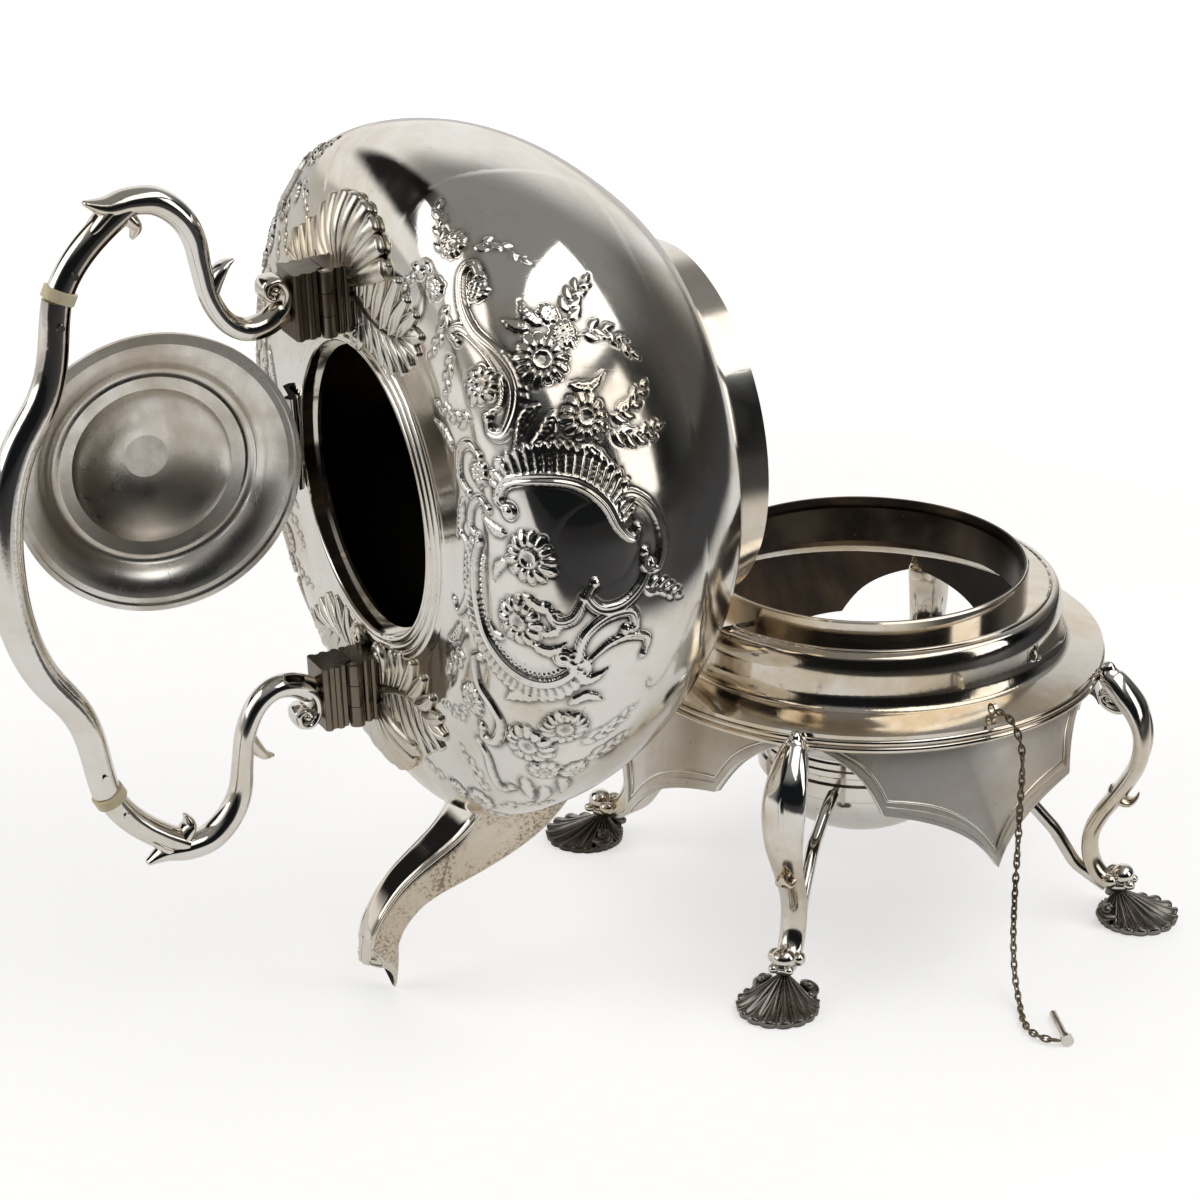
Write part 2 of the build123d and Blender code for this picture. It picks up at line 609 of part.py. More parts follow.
# ================================ KETTLE =========================================================
RING_IN_R = COLLAR_R + LOOSE
RING_OUT_R = RING_IN_R + FOOT_WALL
BODY = [(RING_OUT_R + 0.1, BASE_H + 1.2), (66.0, 14.0), (75.8, 20.0), (86.3, 30.0), (94.5, 40.0),
        (BELLY_R - 6.1, BELLY_H - 25.6), (BELLY_R - 2.4, BELLY_H - 15.6), (BELLY_R, BELLY_H),
        (BELLY_R - 0.5, CROWN_H - 20.2), (BELLY_R - 3.2, CROWN_H - 13.2), (BELLY_R - 8.7, CROWN_H - 8.0),
        (BELLY_R - 15.9, CROWN_H - 4.2), (BELLY_R - 23.3, CROWN_H - 1.9), (78.0, CROWN_H - 0.4),
        (70.0, CROWN_H)]
BODY_HOLE = MOUTH_R + 1.2


def body_outline(start, stop):
    """Closed outline between two copies of the body's line, moved inwards by start and stop."""
    first = beside(BODY, [start] * len(BODY))
    last = beside(BODY, [stop] * len(BODY))
    with BuildLine() as outline:
        Spline(*first)
        Polyline(first[-1], (BODY_HOLE, CROWN_H - start), (BODY_HOLE, CROWN_H - stop), last[-1])
        Spline(*last)
        Polyline(last[0], (BASE_R, BASE_H + stop), (0, BASE_H + stop), (0, BASE_H + start),
                 (BASE_R, BASE_H + start), first[0])
    return outline.line


with BuildPart() as body_core:
    with BuildSketch(KETTLE_SIDE):
        with BuildLine():
            Spline(*BODY)
            Polyline(BODY[-1], (0, CROWN_H), (0, BASE_H), (BASE_R, BASE_H), BODY[0])
        make_face()
    revolve(axis=KETTLE_AXIS)

STRAINER_H = 66.0
STRAINER_R = 7.4
with BuildPart() as kettle_body:
    with BuildSketch(KETTLE_SIDE):
        add(body_outline(0, SHEET))
        make_face()
    revolve(axis=KETTLE_AXIS)
    with BuildSketch(put(KETTLE, Plane.YZ.offset(-80))):
        with Locations((0, STRAINER_H)):
            Circle(2.4)
            with PolarLocations(STRAINER_R, 6):
                Circle(2.4)
    extrude(amount=-40, mode=Mode.SUBTRACT)
write(kettle_body, "kettle_body")

with BuildPart() as foot_ring:
    with BuildSketch(KETTLE_SIDE):
        with BuildLine():
            Polyline((RING_IN_R, SEAT_GAP), (RING_OUT_R, SEAT_GAP), (RING_OUT_R, BASE_H + 1.2),
                     (RING_IN_R, BASE_H + 0.8),
                     close=True)
        make_face()
    revolve(axis=KETTLE_AXIS)
    with BuildSketch(level(KETTLE, -1)):
        with Locations((-RING_IN_R, 0)):
            Rectangle(16, 2 * HINGE_HALF + 1)
    extrude(amount=1 + AXIS_H + LEAF_GAP, mode=Mode.SUBTRACT)
    add(kettle_leaf.part, mode=Mode.SUBTRACT)
    add(body_core.part, mode=Mode.SUBTRACT)
write(foot_ring, "foot_ring")

MOUTH_OUT = MOUTH_R + MOUTH_RIM
with BuildPart() as mouth_moulding:
    with BuildSketch(KETTLE_SIDE):
        with BuildLine():
            Polyline((MOUTH_R, CROWN_H + 1.0), (MOUTH_R, CROWN_H - NECK_DEPTH),
                     (MOUTH_R - 1.8, CROWN_H - NECK_DEPTH), (MOUTH_R - 1.8, CROWN_H - NECK_DEPTH - 1.2),
                     (BODY_HOLE, CROWN_H - NECK_DEPTH - 1.2), (BODY_HOLE, CROWN_H), (MOUTH_OUT, CROWN_H),
                     (MOUTH_OUT, CROWN_H + 0.1))
            ThreePointArc((MOUTH_OUT, CROWN_H + 0.1), (MOUTH_OUT - 1.2, CROWN_H + 0.8),
                          (MOUTH_OUT - 2.6, CROWN_H + 0.4))
            ThreePointArc((MOUTH_OUT - 2.6, CROWN_H + 0.4), (MOUTH_OUT - 3.9, CROWN_H + 1.3),
                          (MOUTH_OUT - 5.3, CROWN_H + 0.8))
            ThreePointArc((MOUTH_OUT - 5.3, CROWN_H + 0.8), (MOUTH_OUT - 6.7, CROWN_H + 1.8),
                          (MOUTH_R, CROWN_H + 1.0))
        make_face()
    revolve(axis=KETTLE_AXIS)
write(mouth_moulding, "mouth_moulding")

# The spout: place and diameter of its sections from the root to just short of the mouth.
SPOUT = [(-92.0, 61.5, 50.0), (-104.0, 63.6, 45.0), (-112.0, 66.2, 40.0), (-119.0, 70.6, 34.0),
         (-125.2, 76.4, 28.0), (-130.6, 83.6, 22.8), (-134.6, 91.2, 19.6), (-138.0, 98.4, 17.2),
         (-142.0, 105.0, 15.4), (-147.0, 110.2, 14.3), (-152.0, 113.8, 13.8), (-157.2, 116.2, 13.6)]
SPOUT_LIP = (-163.4, 123.4)
SPOUT_TIP = (-176.35, 112.0)
SPOUT_LIP_HALF = 6.6     # half width of the mouth across the spout
SPOUT_WALL = 1.2


def smooth(rows, per):
    """Rows of numbers filled in between by a smooth curve through them."""
    filled = []
    for index in range(len(rows) - 1):
        p0 = rows[max(index - 1, 0)]
        p1 = rows[index]
        p2 = rows[index + 1]
        p3 = rows[min(index + 2, len(rows) - 1)]
        for step in range(per):
            t = step / per
            filled.append([0.5 * (2 * b + (c - a) * t + (2 * a - 5 * b + 4 * c - d) * t ** 2
                                  + (3 * b - a - 3 * c + d) * t ** 3)
                           for a, b, c, d in zip(p0, p1, p2, p3)])
    filled.append(list(rows[-1]))
    return filled


def spout_plane(x, height, heading, ahead):
    """The plane of one section of the spout, moved ahead along its heading."""
    run = hypot(*heading)
    return put(KETTLE, Plane(origin=(x + ahead * heading[0] / run, 0, height + ahead * heading[1] / run),
                             x_dir=(0, 1, 0), z_dir=(heading[0], 0, heading[1])))


def spout_shape(wall, ahead):
    """The spout as a solid, its surface moved inwards by wall and its mouth moved ahead."""
    rows = smooth(SPOUT, 3)
    lip = (SPOUT_TIP[0] - SPOUT_LIP[0], SPOUT_TIP[1] - SPOUT_LIP[1])
    mouth = ((SPOUT_TIP[0] + SPOUT_LIP[0]) / 2, (SPOUT_TIP[1] + SPOUT_LIP[1]) / 2)
    with BuildPart() as shape:
        for index, (x, height, size) in enumerate(rows):
            before = rows[max(index - 1, 0)]
            after = rows[min(index + 1, len(rows) - 1)]
            with BuildSketch(spout_plane(x, height, (after[0] - before[0], after[1] - before[1]), 0)):
                Circle(size / 2 - wall)
        with BuildSketch(spout_plane(mouth[0], mouth[1], (lip[1], -lip[0]), ahead)):
            Ellipse(SPOUT_LIP_HALF - wall, hypot(*lip) / 2 - wall)
        loft(ruled=True)
    return shape


spout_outer = spout_shape(0, 0)
spout_bore = spout_shape(SPOUT_WALL, 0.3)
with BuildPart() as spout:
    add(spout_outer.part)
    add(spout_bore.part, mode=Mode.SUBTRACT)
    add(body_core.part, mode=Mode.SUBTRACT)
write(spout, "spout")
# A shell and two leaves spread over the shoulder round each hinge block of the handle.
MOUNT_T = 2.0
SHELL_R = 29.0
SHELL_LOBES = 9
LEAF = [(54.0, -4.0), (48.5, -16.0), (47.0, -27.0), (49.0, -35.0), (54.0, -38.5), (57.5, -45.0),
        (63.5, -49.0), (69.0, -46.5), (71.5, -40.0), (77.0, -36.0), (79.5, -29.0), (82.5, -21.0),
        (82.0, -12.0), (78.0, -4.0)]
ENDS = (("rear", 1), ("front", -1))


mounts = {}
for name, end in ENDS:
    with BuildPart() as mount:
        with BuildSketch(level(KETTLE, CROWN_H - 20)):
            for flank in (1, -1):
                with BuildLine():
                    Spline(*[(end * x, flank * y) for x, y in LEAF])
                    Line((end * LEAF[-1][0], flank * LEAF[-1][1]), (end * LEAF[0][0], flank * LEAF[0][1]))
                make_face()
            with Locations((end * 66.0, 0)):
                Rectangle(26, 18)
            for lobe in range(SHELL_LOBES):
                turn = radians(-64 + 128 * lobe / (SHELL_LOBES - 1))
                with BuildLine():
                    Polyline((end * 64.0, 0),
                             (end * (66 + SHELL_R * cos(turn - 0.14)), SHELL_R * sin(turn - 0.14)),
                             (end * (66 + SHELL_R * cos(turn + 0.14)), SHELL_R * sin(turn + 0.14)),
                             close=True)
                make_face()
                with Locations((end * (66 + SHELL_R * cos(turn)), SHELL_R * sin(turn))):
                    Circle(4.2)
        extrude(amount=40)
        with BuildSketch(KETTLE_SIDE):
            add(body_outline(-MOUNT_T, 0))
            make_face()
        revolve(axis=KETTLE_AXIS, mode=Mode.INTERSECT)
        add(body_core.part, mode=Mode.SUBTRACT)
        with BuildSketch(level(KETTLE, CROWN_H - 20)):
            Circle(MOUTH_OUT)
        extrude(amount=40, mode=Mode.SUBTRACT)
    mounts[name] = mount

# The hinge blocks: a reeded lower half on the shoulder and a reeded upper half that turns with the
# handle, with three knuckles along their near side.
BARREL_Y = -BLOCK_W / 2 - 0.5
HINGE_THIRD = BLOCK_L / 3
BARREL_ROOM = HANDLE_BARREL_R + 0.35


def block_profile(low, high, splay):
    """Section of half a hinge block across the hinge: a slab with reeds down both flanks."""
    with BuildSketch(mode=Mode.PRIVATE) as section:
        with Locations((0, (low + high) / 2)):
            Rectangle(BLOCK_W, high - low)
        rows = int((high - low) / 2.6)
        for row in range(rows):
            height = low + 1.3 + row * (high - low - 2.6) / max(rows - 1, 1)
            for flank in (1, -1):
                with Locations((flank * (BLOCK_W / 2 - 0.4 + splay * row), height)):
                    Circle(1.3)
    return section.sketch


for name, end in ENDS:
    x0 = end * BLOCK_X - BLOCK_L / 2
    across = put(KETTLE, Plane.YZ.offset(x0))
    across_mid = put(KETTLE, Plane.YZ.offset(x0 + HINGE_THIRD - KNUCKLE_GAP))
    across_mid_in = put(KETTLE, Plane.YZ.offset(x0 + HINGE_THIRD))
    with BuildPart() as seat:
        with BuildSketch(across):
            add(block_profile(CROWN_H, BLOCK_SPLIT - SEAT_GAP, 0))
            with Locations((0, CROWN_H + 0.4)):
                Rectangle(BLOCK_W + 4, 3.2)
            with Locations((BARREL_Y, BLOCK_SPLIT)):
                Circle(HANDLE_BARREL_R)
        extrude(amount=BLOCK_L)
        with BuildSketch(across):
            with Locations((BLOCK_W / 2, BLOCK_SPLIT + 3 - SEAT_GAP)):
                Rectangle(2 * BLOCK_W - 1.5, 6)
        extrude(amount=BLOCK_L, mode=Mode.SUBTRACT)
        with BuildSketch(across_mid):
            with Locations((BARREL_Y, BLOCK_SPLIT)):
                Circle(BARREL_ROOM)
        extrude(amount=HINGE_THIRD + 2 * KNUCKLE_GAP, mode=Mode.SUBTRACT)
        with BuildSketch(across):
            with Locations((BARREL_Y, BLOCK_SPLIT)):
                Circle(HANDLE_PIN_R)
        extrude(amount=BLOCK_L, mode=Mode.SUBTRACT)
        add(body_core.part, mode=Mode.SUBTRACT)
        add(mouth_moulding.part, mode=Mode.SUBTRACT)
    write(seat, "handle_seat_" + name)
    with BuildPart() as trimmed:
        add(mounts[name].part)
        add(seat.part, mode=Mode.SUBTRACT)
    write(trimmed, "mount_" + name)
    with BuildPart() as handle_pin:
        with BuildSketch(across):
            with Locations((BARREL_Y, BLOCK_SPLIT)):
                Circle(HANDLE_PIN_R)
        extrude(amount=BLOCK_L)
    write(handle_pin, "handle_pin_" + name)
    with BuildPart() as upper:
        with BuildSketch(across):
            add(block_profile(BLOCK_SPLIT + SEAT_GAP, BLOCK_TOP, 0))
        extrude(amount=BLOCK_L)
        with BuildSketch(across):
            with Locations((BARREL_Y, BLOCK_SPLIT)):
                Circle(BARREL_ROOM)
        extrude(amount=BLOCK_L, mode=Mode.SUBTRACT)
        with BuildSketch(across_mid_in):
            with Locations((BARREL_Y, BLOCK_SPLIT)):
                Circle(HANDLE_BARREL_R)
            with Locations((BARREL_Y + 2.4, BLOCK_SPLIT + SEAT_GAP + 1.2)):
                Rectangle(4.8, 2.4)
        extrude(amount=HINGE_THIRD)
        with BuildSketch(across):
            with Locations((BARREL_Y, BLOCK_SPLIT)):
                Circle(HANDLE_PIN_R + RUN_FIT)
        extrude(amount=BLOCK_L, mode=Mode.SUBTRACT)
    write(upper, "handle_leaf_" + name)

# ================================ HANDLE =========================================================
ARM = [(64.0, 1.5), (59.6, 7.1), (59.4, 14.1), (63.4, 20.3), (71.9, 24.7), (82.2, 26.4),
       (91.4, 27.8), (99.2, 31.7), (105.2, 38.5), (107.0, 46.5), (105.8, 53.9), (108.3, 60.9)]
ARM_WIDTH = [9.0, 7.0, 6.4, 5.6, 5.2, 5.4, 6.2, 6.8, 7.8, 7.6, 5.0, 1.6]
ARM_DEPTH = 8.0
SPUR = [(73.0, 23.5), (76.4, 20.1), (80.9, 17.6), (81.4, 21.5), (84.5, 24.9)]
HOOK = [(104.5, 42.0), (99.0, 43.1), (95.2, 47.1), (95.8, 49.9), (100.0, 48.9), (105.5, 50.5)]
SOCKET = [(104.6, 47.7), (100.3, 54.3), (92.6, 63.3), (83.4, 69.8)]
IVORY_L = 3.4
GRIP = [(80.2, 71.4), (71.6, 73.1), (60.1, 75.1), (49.4, 79.3), (39.6, 85.9), (28.0, 91.3),
        (14.5, 94.5), (0.0, GRIP_RISE)]


def mirrored(points, end):
    """Points over the hinge blocks, as points in the kettle's side plane on the end wanted."""
    return [(end * x, BLOCK_TOP + y) for x, y in points]


sockets = []
arms = []
rings = []
for name, end in ENDS:
    with BuildPart() as socket:
        with BuildLine(KETTLE_SIDE) as route:
            Spline(*mirrored(SOCKET, end))
        with BuildSketch(Plane(origin=route.line @ 0, z_dir=route.line % 0)):
            Circle(TUBE_R)
        sweep()
    run_end = route.line @ 1
    run_dir = route.line % 1
    with BuildPart() as ring:
        with BuildSketch(Plane(origin=run_end, z_dir=run_dir)):
            Circle(IVORY_R)
        extrude(amount=IVORY_L)
    rings.append(ring)
    write(ring, "ivory_ring_" + name)
    with BuildPart() as arm:
        with BuildSketch(KETTLE_SIDE):
            add(strap(mirrored(ARM, end), ARM_WIDTH))
            make_face()
        extrude(amount=ARM_DEPTH / 2, both=True)
        with BuildSketch(KETTLE_SIDE):
            with BuildLine():
                Polyline(*mirrored(SPUR, end), close=True)
            make_face()
        extrude(amount=1.6, both=True)
        with BuildSketch(KETTLE_SIDE):
            with BuildLine():
                Polyline(*mirrored(HOOK, end), close=True)
            make_face()
        extrude(amount=1.8, both=True)
        with BuildSketch(KETTLE_SIDE):
            with Locations((end * 70.4, BLOCK_TOP + 4.1)):
                Circle(3.8)
            with Locations((end * BLOCK_X, BLOCK_TOP + 0.9)):
                Rectangle(BLOCK_L - 3, 1.8)
            with Locations((end * (BLOCK_X + 2.5), BLOCK_TOP + 1.5)):
                Rectangle(8, 3)
        extrude(amount=ARM_DEPTH / 2 - 0.4, both=True)
        with BuildSketch(level(KETTLE, BLOCK_TOP)):
            Rectangle(300, 30)
        extrude(amount=-30, mode=Mode.SUBTRACT)
    with BuildPart() as socket_cut:
        add(socket.part)
        add(arm.part, mode=Mode.SUBTRACT)
    write(arm, "handle_arm_" + name)
    sockets.append(socket_cut)

with BuildPart() as grip:
    with BuildLine(KETTLE_SIDE) as grip_line:
        Spline(*(mirrored(GRIP, 1) + mirrored(GRIP[-2::-1], -1)))
    for share, size in ((0, 4.6), (0.22, 5.1), (0.5, GRIP_R), (0.78, 5.1), (1, 4.6)):
        with BuildSketch(Plane(origin=grip_line.line @ share, z_dir=grip_line.line % share,
                               x_dir=KETTLE_SIDE.z_dir)):
            Circle(size)
    sweep(multisection=True)
    for ring in rings:
        add(ring.part, mode=Mode.SUBTRACT)
write(grip, "grip")
for (name, end), socket in zip(ENDS, sockets):
    write(socket, "handle_socket_" + name)

with BuildPart() as rivets:
    for end in (1, -1):
        for x, y, reach in ((88.2, 66.9, TUBE_R), (73.5, 72.7, 4.75)):
            with BuildSketch(KETTLE_SIDE):
                with Locations((end * x, BLOCK_TOP + y)):
                    Circle(1.2)
            extrude(amount=reach + 0.8, both=True)
    for piece in (grip, sockets[0], sockets[1]):
        add(piece.part, mode=Mode.SUBTRACT)
write(rivets, "handle_rivets")

# ================================ LID ============================================================
# Heights are counted from the kettle's crown.
LID_R = MOUTH_R - LID_FIT
LID_SEAT = SEAT_GAP - NECK_DEPTH
LID_SIDE = put(LID, CROWN_SIDE)
LID_T = 1.3
RIM_H = 2.6
with BuildPart() as lid_shell:
    with BuildSketch(LID_SIDE):
        with BuildLine():
            Polyline((LID_R - 1.6, LID_SEAT), (LID_R, LID_SEAT), (LID_R, LID_SEAT + RIM_H - 0.8),
                     (LID_R - 0.8, LID_SEAT + RIM_H), (LID_R - 3.6, LID_SEAT + RIM_H))
            Spline((LID_R - 3.6, LID_SEAT + RIM_H), (LID_R - 8, 0.8), (34.6, 4.0),
                   tangents=((-1, 0.1), (-1, 1.2)))
            ThreePointArc((34.6, 4.0), (32.2, 5.4), (30.0, 5.0))
            Line((30.0, 5.0), (27.0, 5.6))
            Spline((27.0, 5.6), (22.0, 9.0), (14.0, 12.7), (7.0, 14.2),
                   tangents=((-0.8, 1), (-1, 0.1)))
            Polyline((7.0, 14.2), (0, 14.2), (0, 14.2 - LID_T), (7.0, 14.2 - LID_T))
            Spline((7.0, 14.2 - LID_T), (13.6, 11.4), (21.2, 7.9), (25.6, 4.4),
                   tangents=((1, -0.1), (0.8, -1)))
            Line((25.6, 4.4), (29.8, 3.6))
            ThreePointArc((29.8, 3.6), (31.8, 3.8), (33.4, 2.6))
            Spline((33.4, 2.6), (LID_R - 9, -0.5), (LID_R - 3.8, LID_SEAT + RIM_H - LID_T),
                   tangents=((1, -1.2), (1, -0.1)))
            Polyline((LID_R - 3.8, LID_SEAT + RIM_H - LID_T), (LID_R - 1.6, LID_SEAT + RIM_H - LID_T),
                     (LID_R - 1.6, LID_SEAT))
        make_face()
    revolve(axis=LID_AXIS)
write(lid_shell, "lid_shell")

with BuildPart() as finial:
    with BuildSketch(LID_SIDE):
        with BuildLine():
            Polyline((0, 14.2), (6.6, 14.2), (6.6, 15.4), (5.0, 16.2))
            Spline((5.0, 16.2), (2.8, 18.0), (2.6, 20.4), (4.0, 21.8), tangents=((-1, 0.4), (1, 0.3)))
            Line((4.0, 21.8), (4.0, 22.8))
            Spline((4.0, 22.8), (8.4, 27.2), (7.8, 32.4), (3.6, 36.8), (0, 39.8),
                   tangents=((1, 0.4), (-0.4, 1)))
            Line((0, 39.8), (0, 14.2))
        make_face()
    revolve(axis=LID_AXIS)
write(finial, "finial")

# The lid's hinge: the middle knuckle turns with the lid, the outer two stand on the mouth moulding.
LID_MID = 11.0
LEAF_LOW = 0.2
with BuildPart() as lid_leaf:
    with BuildSketch(put(LID, CROWN_ACROSS)):
        with Locations((LID_HINGE_Y, LID_HINGE_UP)):
            Circle(LID_KNUCKLE_R)
        with BuildLine():
            Polyline((LID_HINGE_Y, LID_HINGE_UP - LID_KNUCKLE_R), (LID_HINGE_Y, LID_HINGE_UP), (41.0, 3.2),
                     (35.6, 4.6), (35.0, 1.8), (40.0, LEAF_LOW), (43.4, LEAF_LOW + 0.6), close=True)
        make_face()
    extrude(amount=LID_MID / 2, both=True)
    with BuildSketch(put(LID, CROWN_ACROSS)):
        with Locations((LID_HINGE_Y, LID_HINGE_UP)):
            Circle(LID_PIN_R + RUN_FIT)
    extrude(amount=LID_MID, both=True, mode=Mode.SUBTRACT)
    add(lid_shell.part, mode=Mode.SUBTRACT)
write(lid_leaf, "lid_hinge_leaf")

with BuildPart() as lid_seat:
    with BuildSketch(put(KETTLE, CROWN_ACROSS)):
        with Locations((LID_HINGE_Y, LID_HINGE_UP)):
            Circle(LID_KNUCKLE_R)
        with BuildLine():
            Polyline((LID_HINGE_Y, LID_HINGE_UP - LID_KNUCKLE_R), (LID_HINGE_Y, LID_HINGE_UP + 0.6),
                     (56.8, 2.7), (MOUTH_OUT + 3.4, 0), (MOUTH_OUT + 1.0, 0), (54.4, 1.7), close=True)
        make_face()
    extrude(amount=LID_BARREL / 2, both=True)
    with BuildSketch(level(KETTLE, CROWN_H - 2.2)):
        with Locations((0, LID_HINGE_Y)):
            Rectangle(LID_MID + 2 * KNUCKLE_GAP, 2 * LID_KNUCKLE_R + 1.6)
    extrude(amount=20, mode=Mode.SUBTRACT)
    with BuildSketch(put(KETTLE, CROWN_ACROSS)):
        with Locations((LID_HINGE_Y, LID_HINGE_UP)):
            Circle(LID_PIN_R)
    extrude(amount=LID_BARREL, both=True, mode=Mode.SUBTRACT)
    add(mouth_moulding.part, mode=Mode.SUBTRACT)
    add(body_core.part, mode=Mode.SUBTRACT)
write(lid_seat, "lid_hinge_seat")

with BuildPart() as lid_pin:
    with BuildSketch(put(KETTLE, CROWN_ACROSS)):
        with Locations((LID_HINGE_Y, LID_HINGE_UP)):
            Circle(LID_PIN_R)
    extrude(amount=LID_BARREL / 2, both=True)
write(lid_pin, "lid_pin")

# ================================ THE CORD ======================================================
chain_length = sum(edge.length for edge in chain_line.line.edges())
section = pi * CHAIN_R ** 2
print("chain radii", [round(radius, 1) for radius in chain_radii])
print("chain length", round(chain_length, 1), "volume", round(pin_chain.part.volume, 1),
      "section times length", round(section * chain_length, 1))
print("written", len(written))
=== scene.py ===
import json
import math

import bmesh
import bpy
import numpy as np
from mathutils import Matrix, Vector

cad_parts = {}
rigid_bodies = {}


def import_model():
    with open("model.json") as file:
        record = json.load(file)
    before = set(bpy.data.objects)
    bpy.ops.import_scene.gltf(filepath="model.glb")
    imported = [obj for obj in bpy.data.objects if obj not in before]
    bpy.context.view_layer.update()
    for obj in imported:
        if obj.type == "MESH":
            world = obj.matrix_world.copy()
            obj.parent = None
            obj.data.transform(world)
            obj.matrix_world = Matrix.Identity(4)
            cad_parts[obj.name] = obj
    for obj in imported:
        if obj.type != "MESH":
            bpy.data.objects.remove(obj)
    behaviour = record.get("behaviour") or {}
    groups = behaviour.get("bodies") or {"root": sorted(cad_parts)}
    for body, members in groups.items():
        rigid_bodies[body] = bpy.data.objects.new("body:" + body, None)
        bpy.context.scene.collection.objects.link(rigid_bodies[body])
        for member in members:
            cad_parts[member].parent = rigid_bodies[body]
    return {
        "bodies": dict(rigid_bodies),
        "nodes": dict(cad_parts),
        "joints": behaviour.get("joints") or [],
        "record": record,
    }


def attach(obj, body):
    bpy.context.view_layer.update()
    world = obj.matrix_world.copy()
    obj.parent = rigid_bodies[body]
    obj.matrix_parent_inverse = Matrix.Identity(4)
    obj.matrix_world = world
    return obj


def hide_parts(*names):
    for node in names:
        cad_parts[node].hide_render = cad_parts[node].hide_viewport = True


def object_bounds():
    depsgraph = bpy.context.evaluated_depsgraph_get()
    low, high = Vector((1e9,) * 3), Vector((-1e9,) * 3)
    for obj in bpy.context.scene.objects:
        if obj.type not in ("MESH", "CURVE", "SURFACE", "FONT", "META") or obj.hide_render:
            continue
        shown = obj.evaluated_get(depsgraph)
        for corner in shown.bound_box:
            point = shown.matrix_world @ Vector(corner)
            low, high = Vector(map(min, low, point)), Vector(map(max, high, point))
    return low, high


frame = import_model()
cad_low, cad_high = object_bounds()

MM = 0.001
NODES = frame["nodes"]

# ---- places -----------------------------------------------------------------------------------
HINGE_X, HINGE_Z, TILT = 67.5 * MM, 113.7 * MM, math.radians(92.5)
SEAT_H = 1.1 * MM
FORWARD = Vector((math.cos(TILT), 0, math.sin(TILT)))
SIDE = Vector((0, 1, 0))
LIFT = FORWARD.cross(SIDE)


def kettle_place():
    """The kettle's own upright frame, tipped forward on its hinge."""
    turn = Matrix((FORWARD, SIDE, LIFT)).transposed().to_4x4()
    hinge = Matrix.Translation((-HINGE_X, 0, HINGE_Z))
    return hinge @ turn @ Matrix.Translation((HINGE_X, 0, -SEAT_H))


KETTLE = kettle_place()


# ---- shader maths -----------------------------------------------------------------------------
class Link:
    """One output socket; Python's operators on it add Math nodes."""

    def __init__(self, finish, socket):
        self.finish, self.socket = finish, socket

    def maths(self, operation, *values):
        return self.finish.node("ShaderNodeMath", {"operation": operation}, values)

    def __add__(self, other):
        return self.maths("ADD", self, other)

    def __radd__(self, other):
        return self.maths("ADD", other, self)

    def __sub__(self, other):
        return self.maths("SUBTRACT", self, other)

    def __rsub__(self, other):
        return self.maths("SUBTRACT", other, self)

    def __mul__(self, other):
        return self.maths("MULTIPLY", self, other)

    def __rmul__(self, other):
        return self.maths("MULTIPLY", other, self)

    def __truediv__(self, other):
        return self.maths("DIVIDE", self, other)

    def __pow__(self, other):
        return self.maths("POWER", self, other)

    def larger(self, other):
        return self.maths("MAXIMUM", self, other)

    def between(self, start, end):
        """0 before start, 1 after end, and smooth between them."""
        settings = {"interpolation_type": "SMOOTHSTEP"}
        values = {"Value": self, "From Min": start, "From Max": end}
        return self.finish.node("ShaderNodeMapRange", settings, values)


class Finish:
    """A material, or another owner of nodes, that is put together from nodes."""

    def __init__(self, name, owner=None, shader="Principled BSDF"):
        self.material = owner or bpy.data.materials.new(name)
        self.material.use_nodes = True
        self.tree = self.material.node_tree
        self.shader = self.tree.nodes[shader]

    def node(self, kind, settings=None, values=(), output=0):
        """A node of a kind with its settings, then the values or links of its sockets."""
        made = self.tree.nodes.new(kind)
        for key, value in (settings or {}).items():
            setattr(made, key, value)
        pairs = values.items() if isinstance(values, dict) else enumerate(values)
        for key, value in pairs:
            self.plug(made.inputs[key], value)
        return Link(self, made.outputs[output])

    def plug(self, socket, value):
        if isinstance(value, Link):
            self.tree.links.new(value.socket, socket)
        elif socket.type == "RGBA" and len(value) == 3:
            socket.default_value = (*value, 1)
        else:
            socket.default_value = value

    def set(self, **values):
        """Sets the shader's sockets; underscores stand for spaces."""
        for key, value in values.items():
            self.plug(self.shader.inputs[key.replace("_", " ")], value)
        return self.material

    def coords(self):
        return self.node("ShaderNodeTexCoord", output="Object")

    def stretched(self, coords, scale, turn=(0, 0, 0)):
        values = {"Vector": coords, "Scale": scale, "Rotation": turn}
        return self.node("ShaderNodeMapping", {}, values)

    def noise(self, coords, scale, detail=3.0, rough=0.55, distortion=0.0):
        values = {"Vector": coords, "Scale": scale, "Detail": detail,
                  "Roughness": rough, "Distortion": distortion}
        return self.node("ShaderNodeTexNoise", {}, values)

    def mix(self, factor, first, second):
        """Two colours mixed; the numbers are the colour sockets among the node's many."""
        values = {0: factor, 6: first, 7: second}
        return self.node("ShaderNodeMix", {"data_type": "RGBA"}, values, output=2)

    def attribute(self, name):
        return self.node("ShaderNodeAttribute", {"attribute_name": name}, output="Fac")

    def split(self, vector):
        first = self.node("ShaderNodeSeparateXYZ", {}, [vector])
        return [Link(self, socket) for socket in first.socket.node.outputs]

    def bump(self, height, strength, distance):
        values = {"Height": height, "Strength": strength, "Distance": distance}
        return self.node("ShaderNodeBump", {}, values)


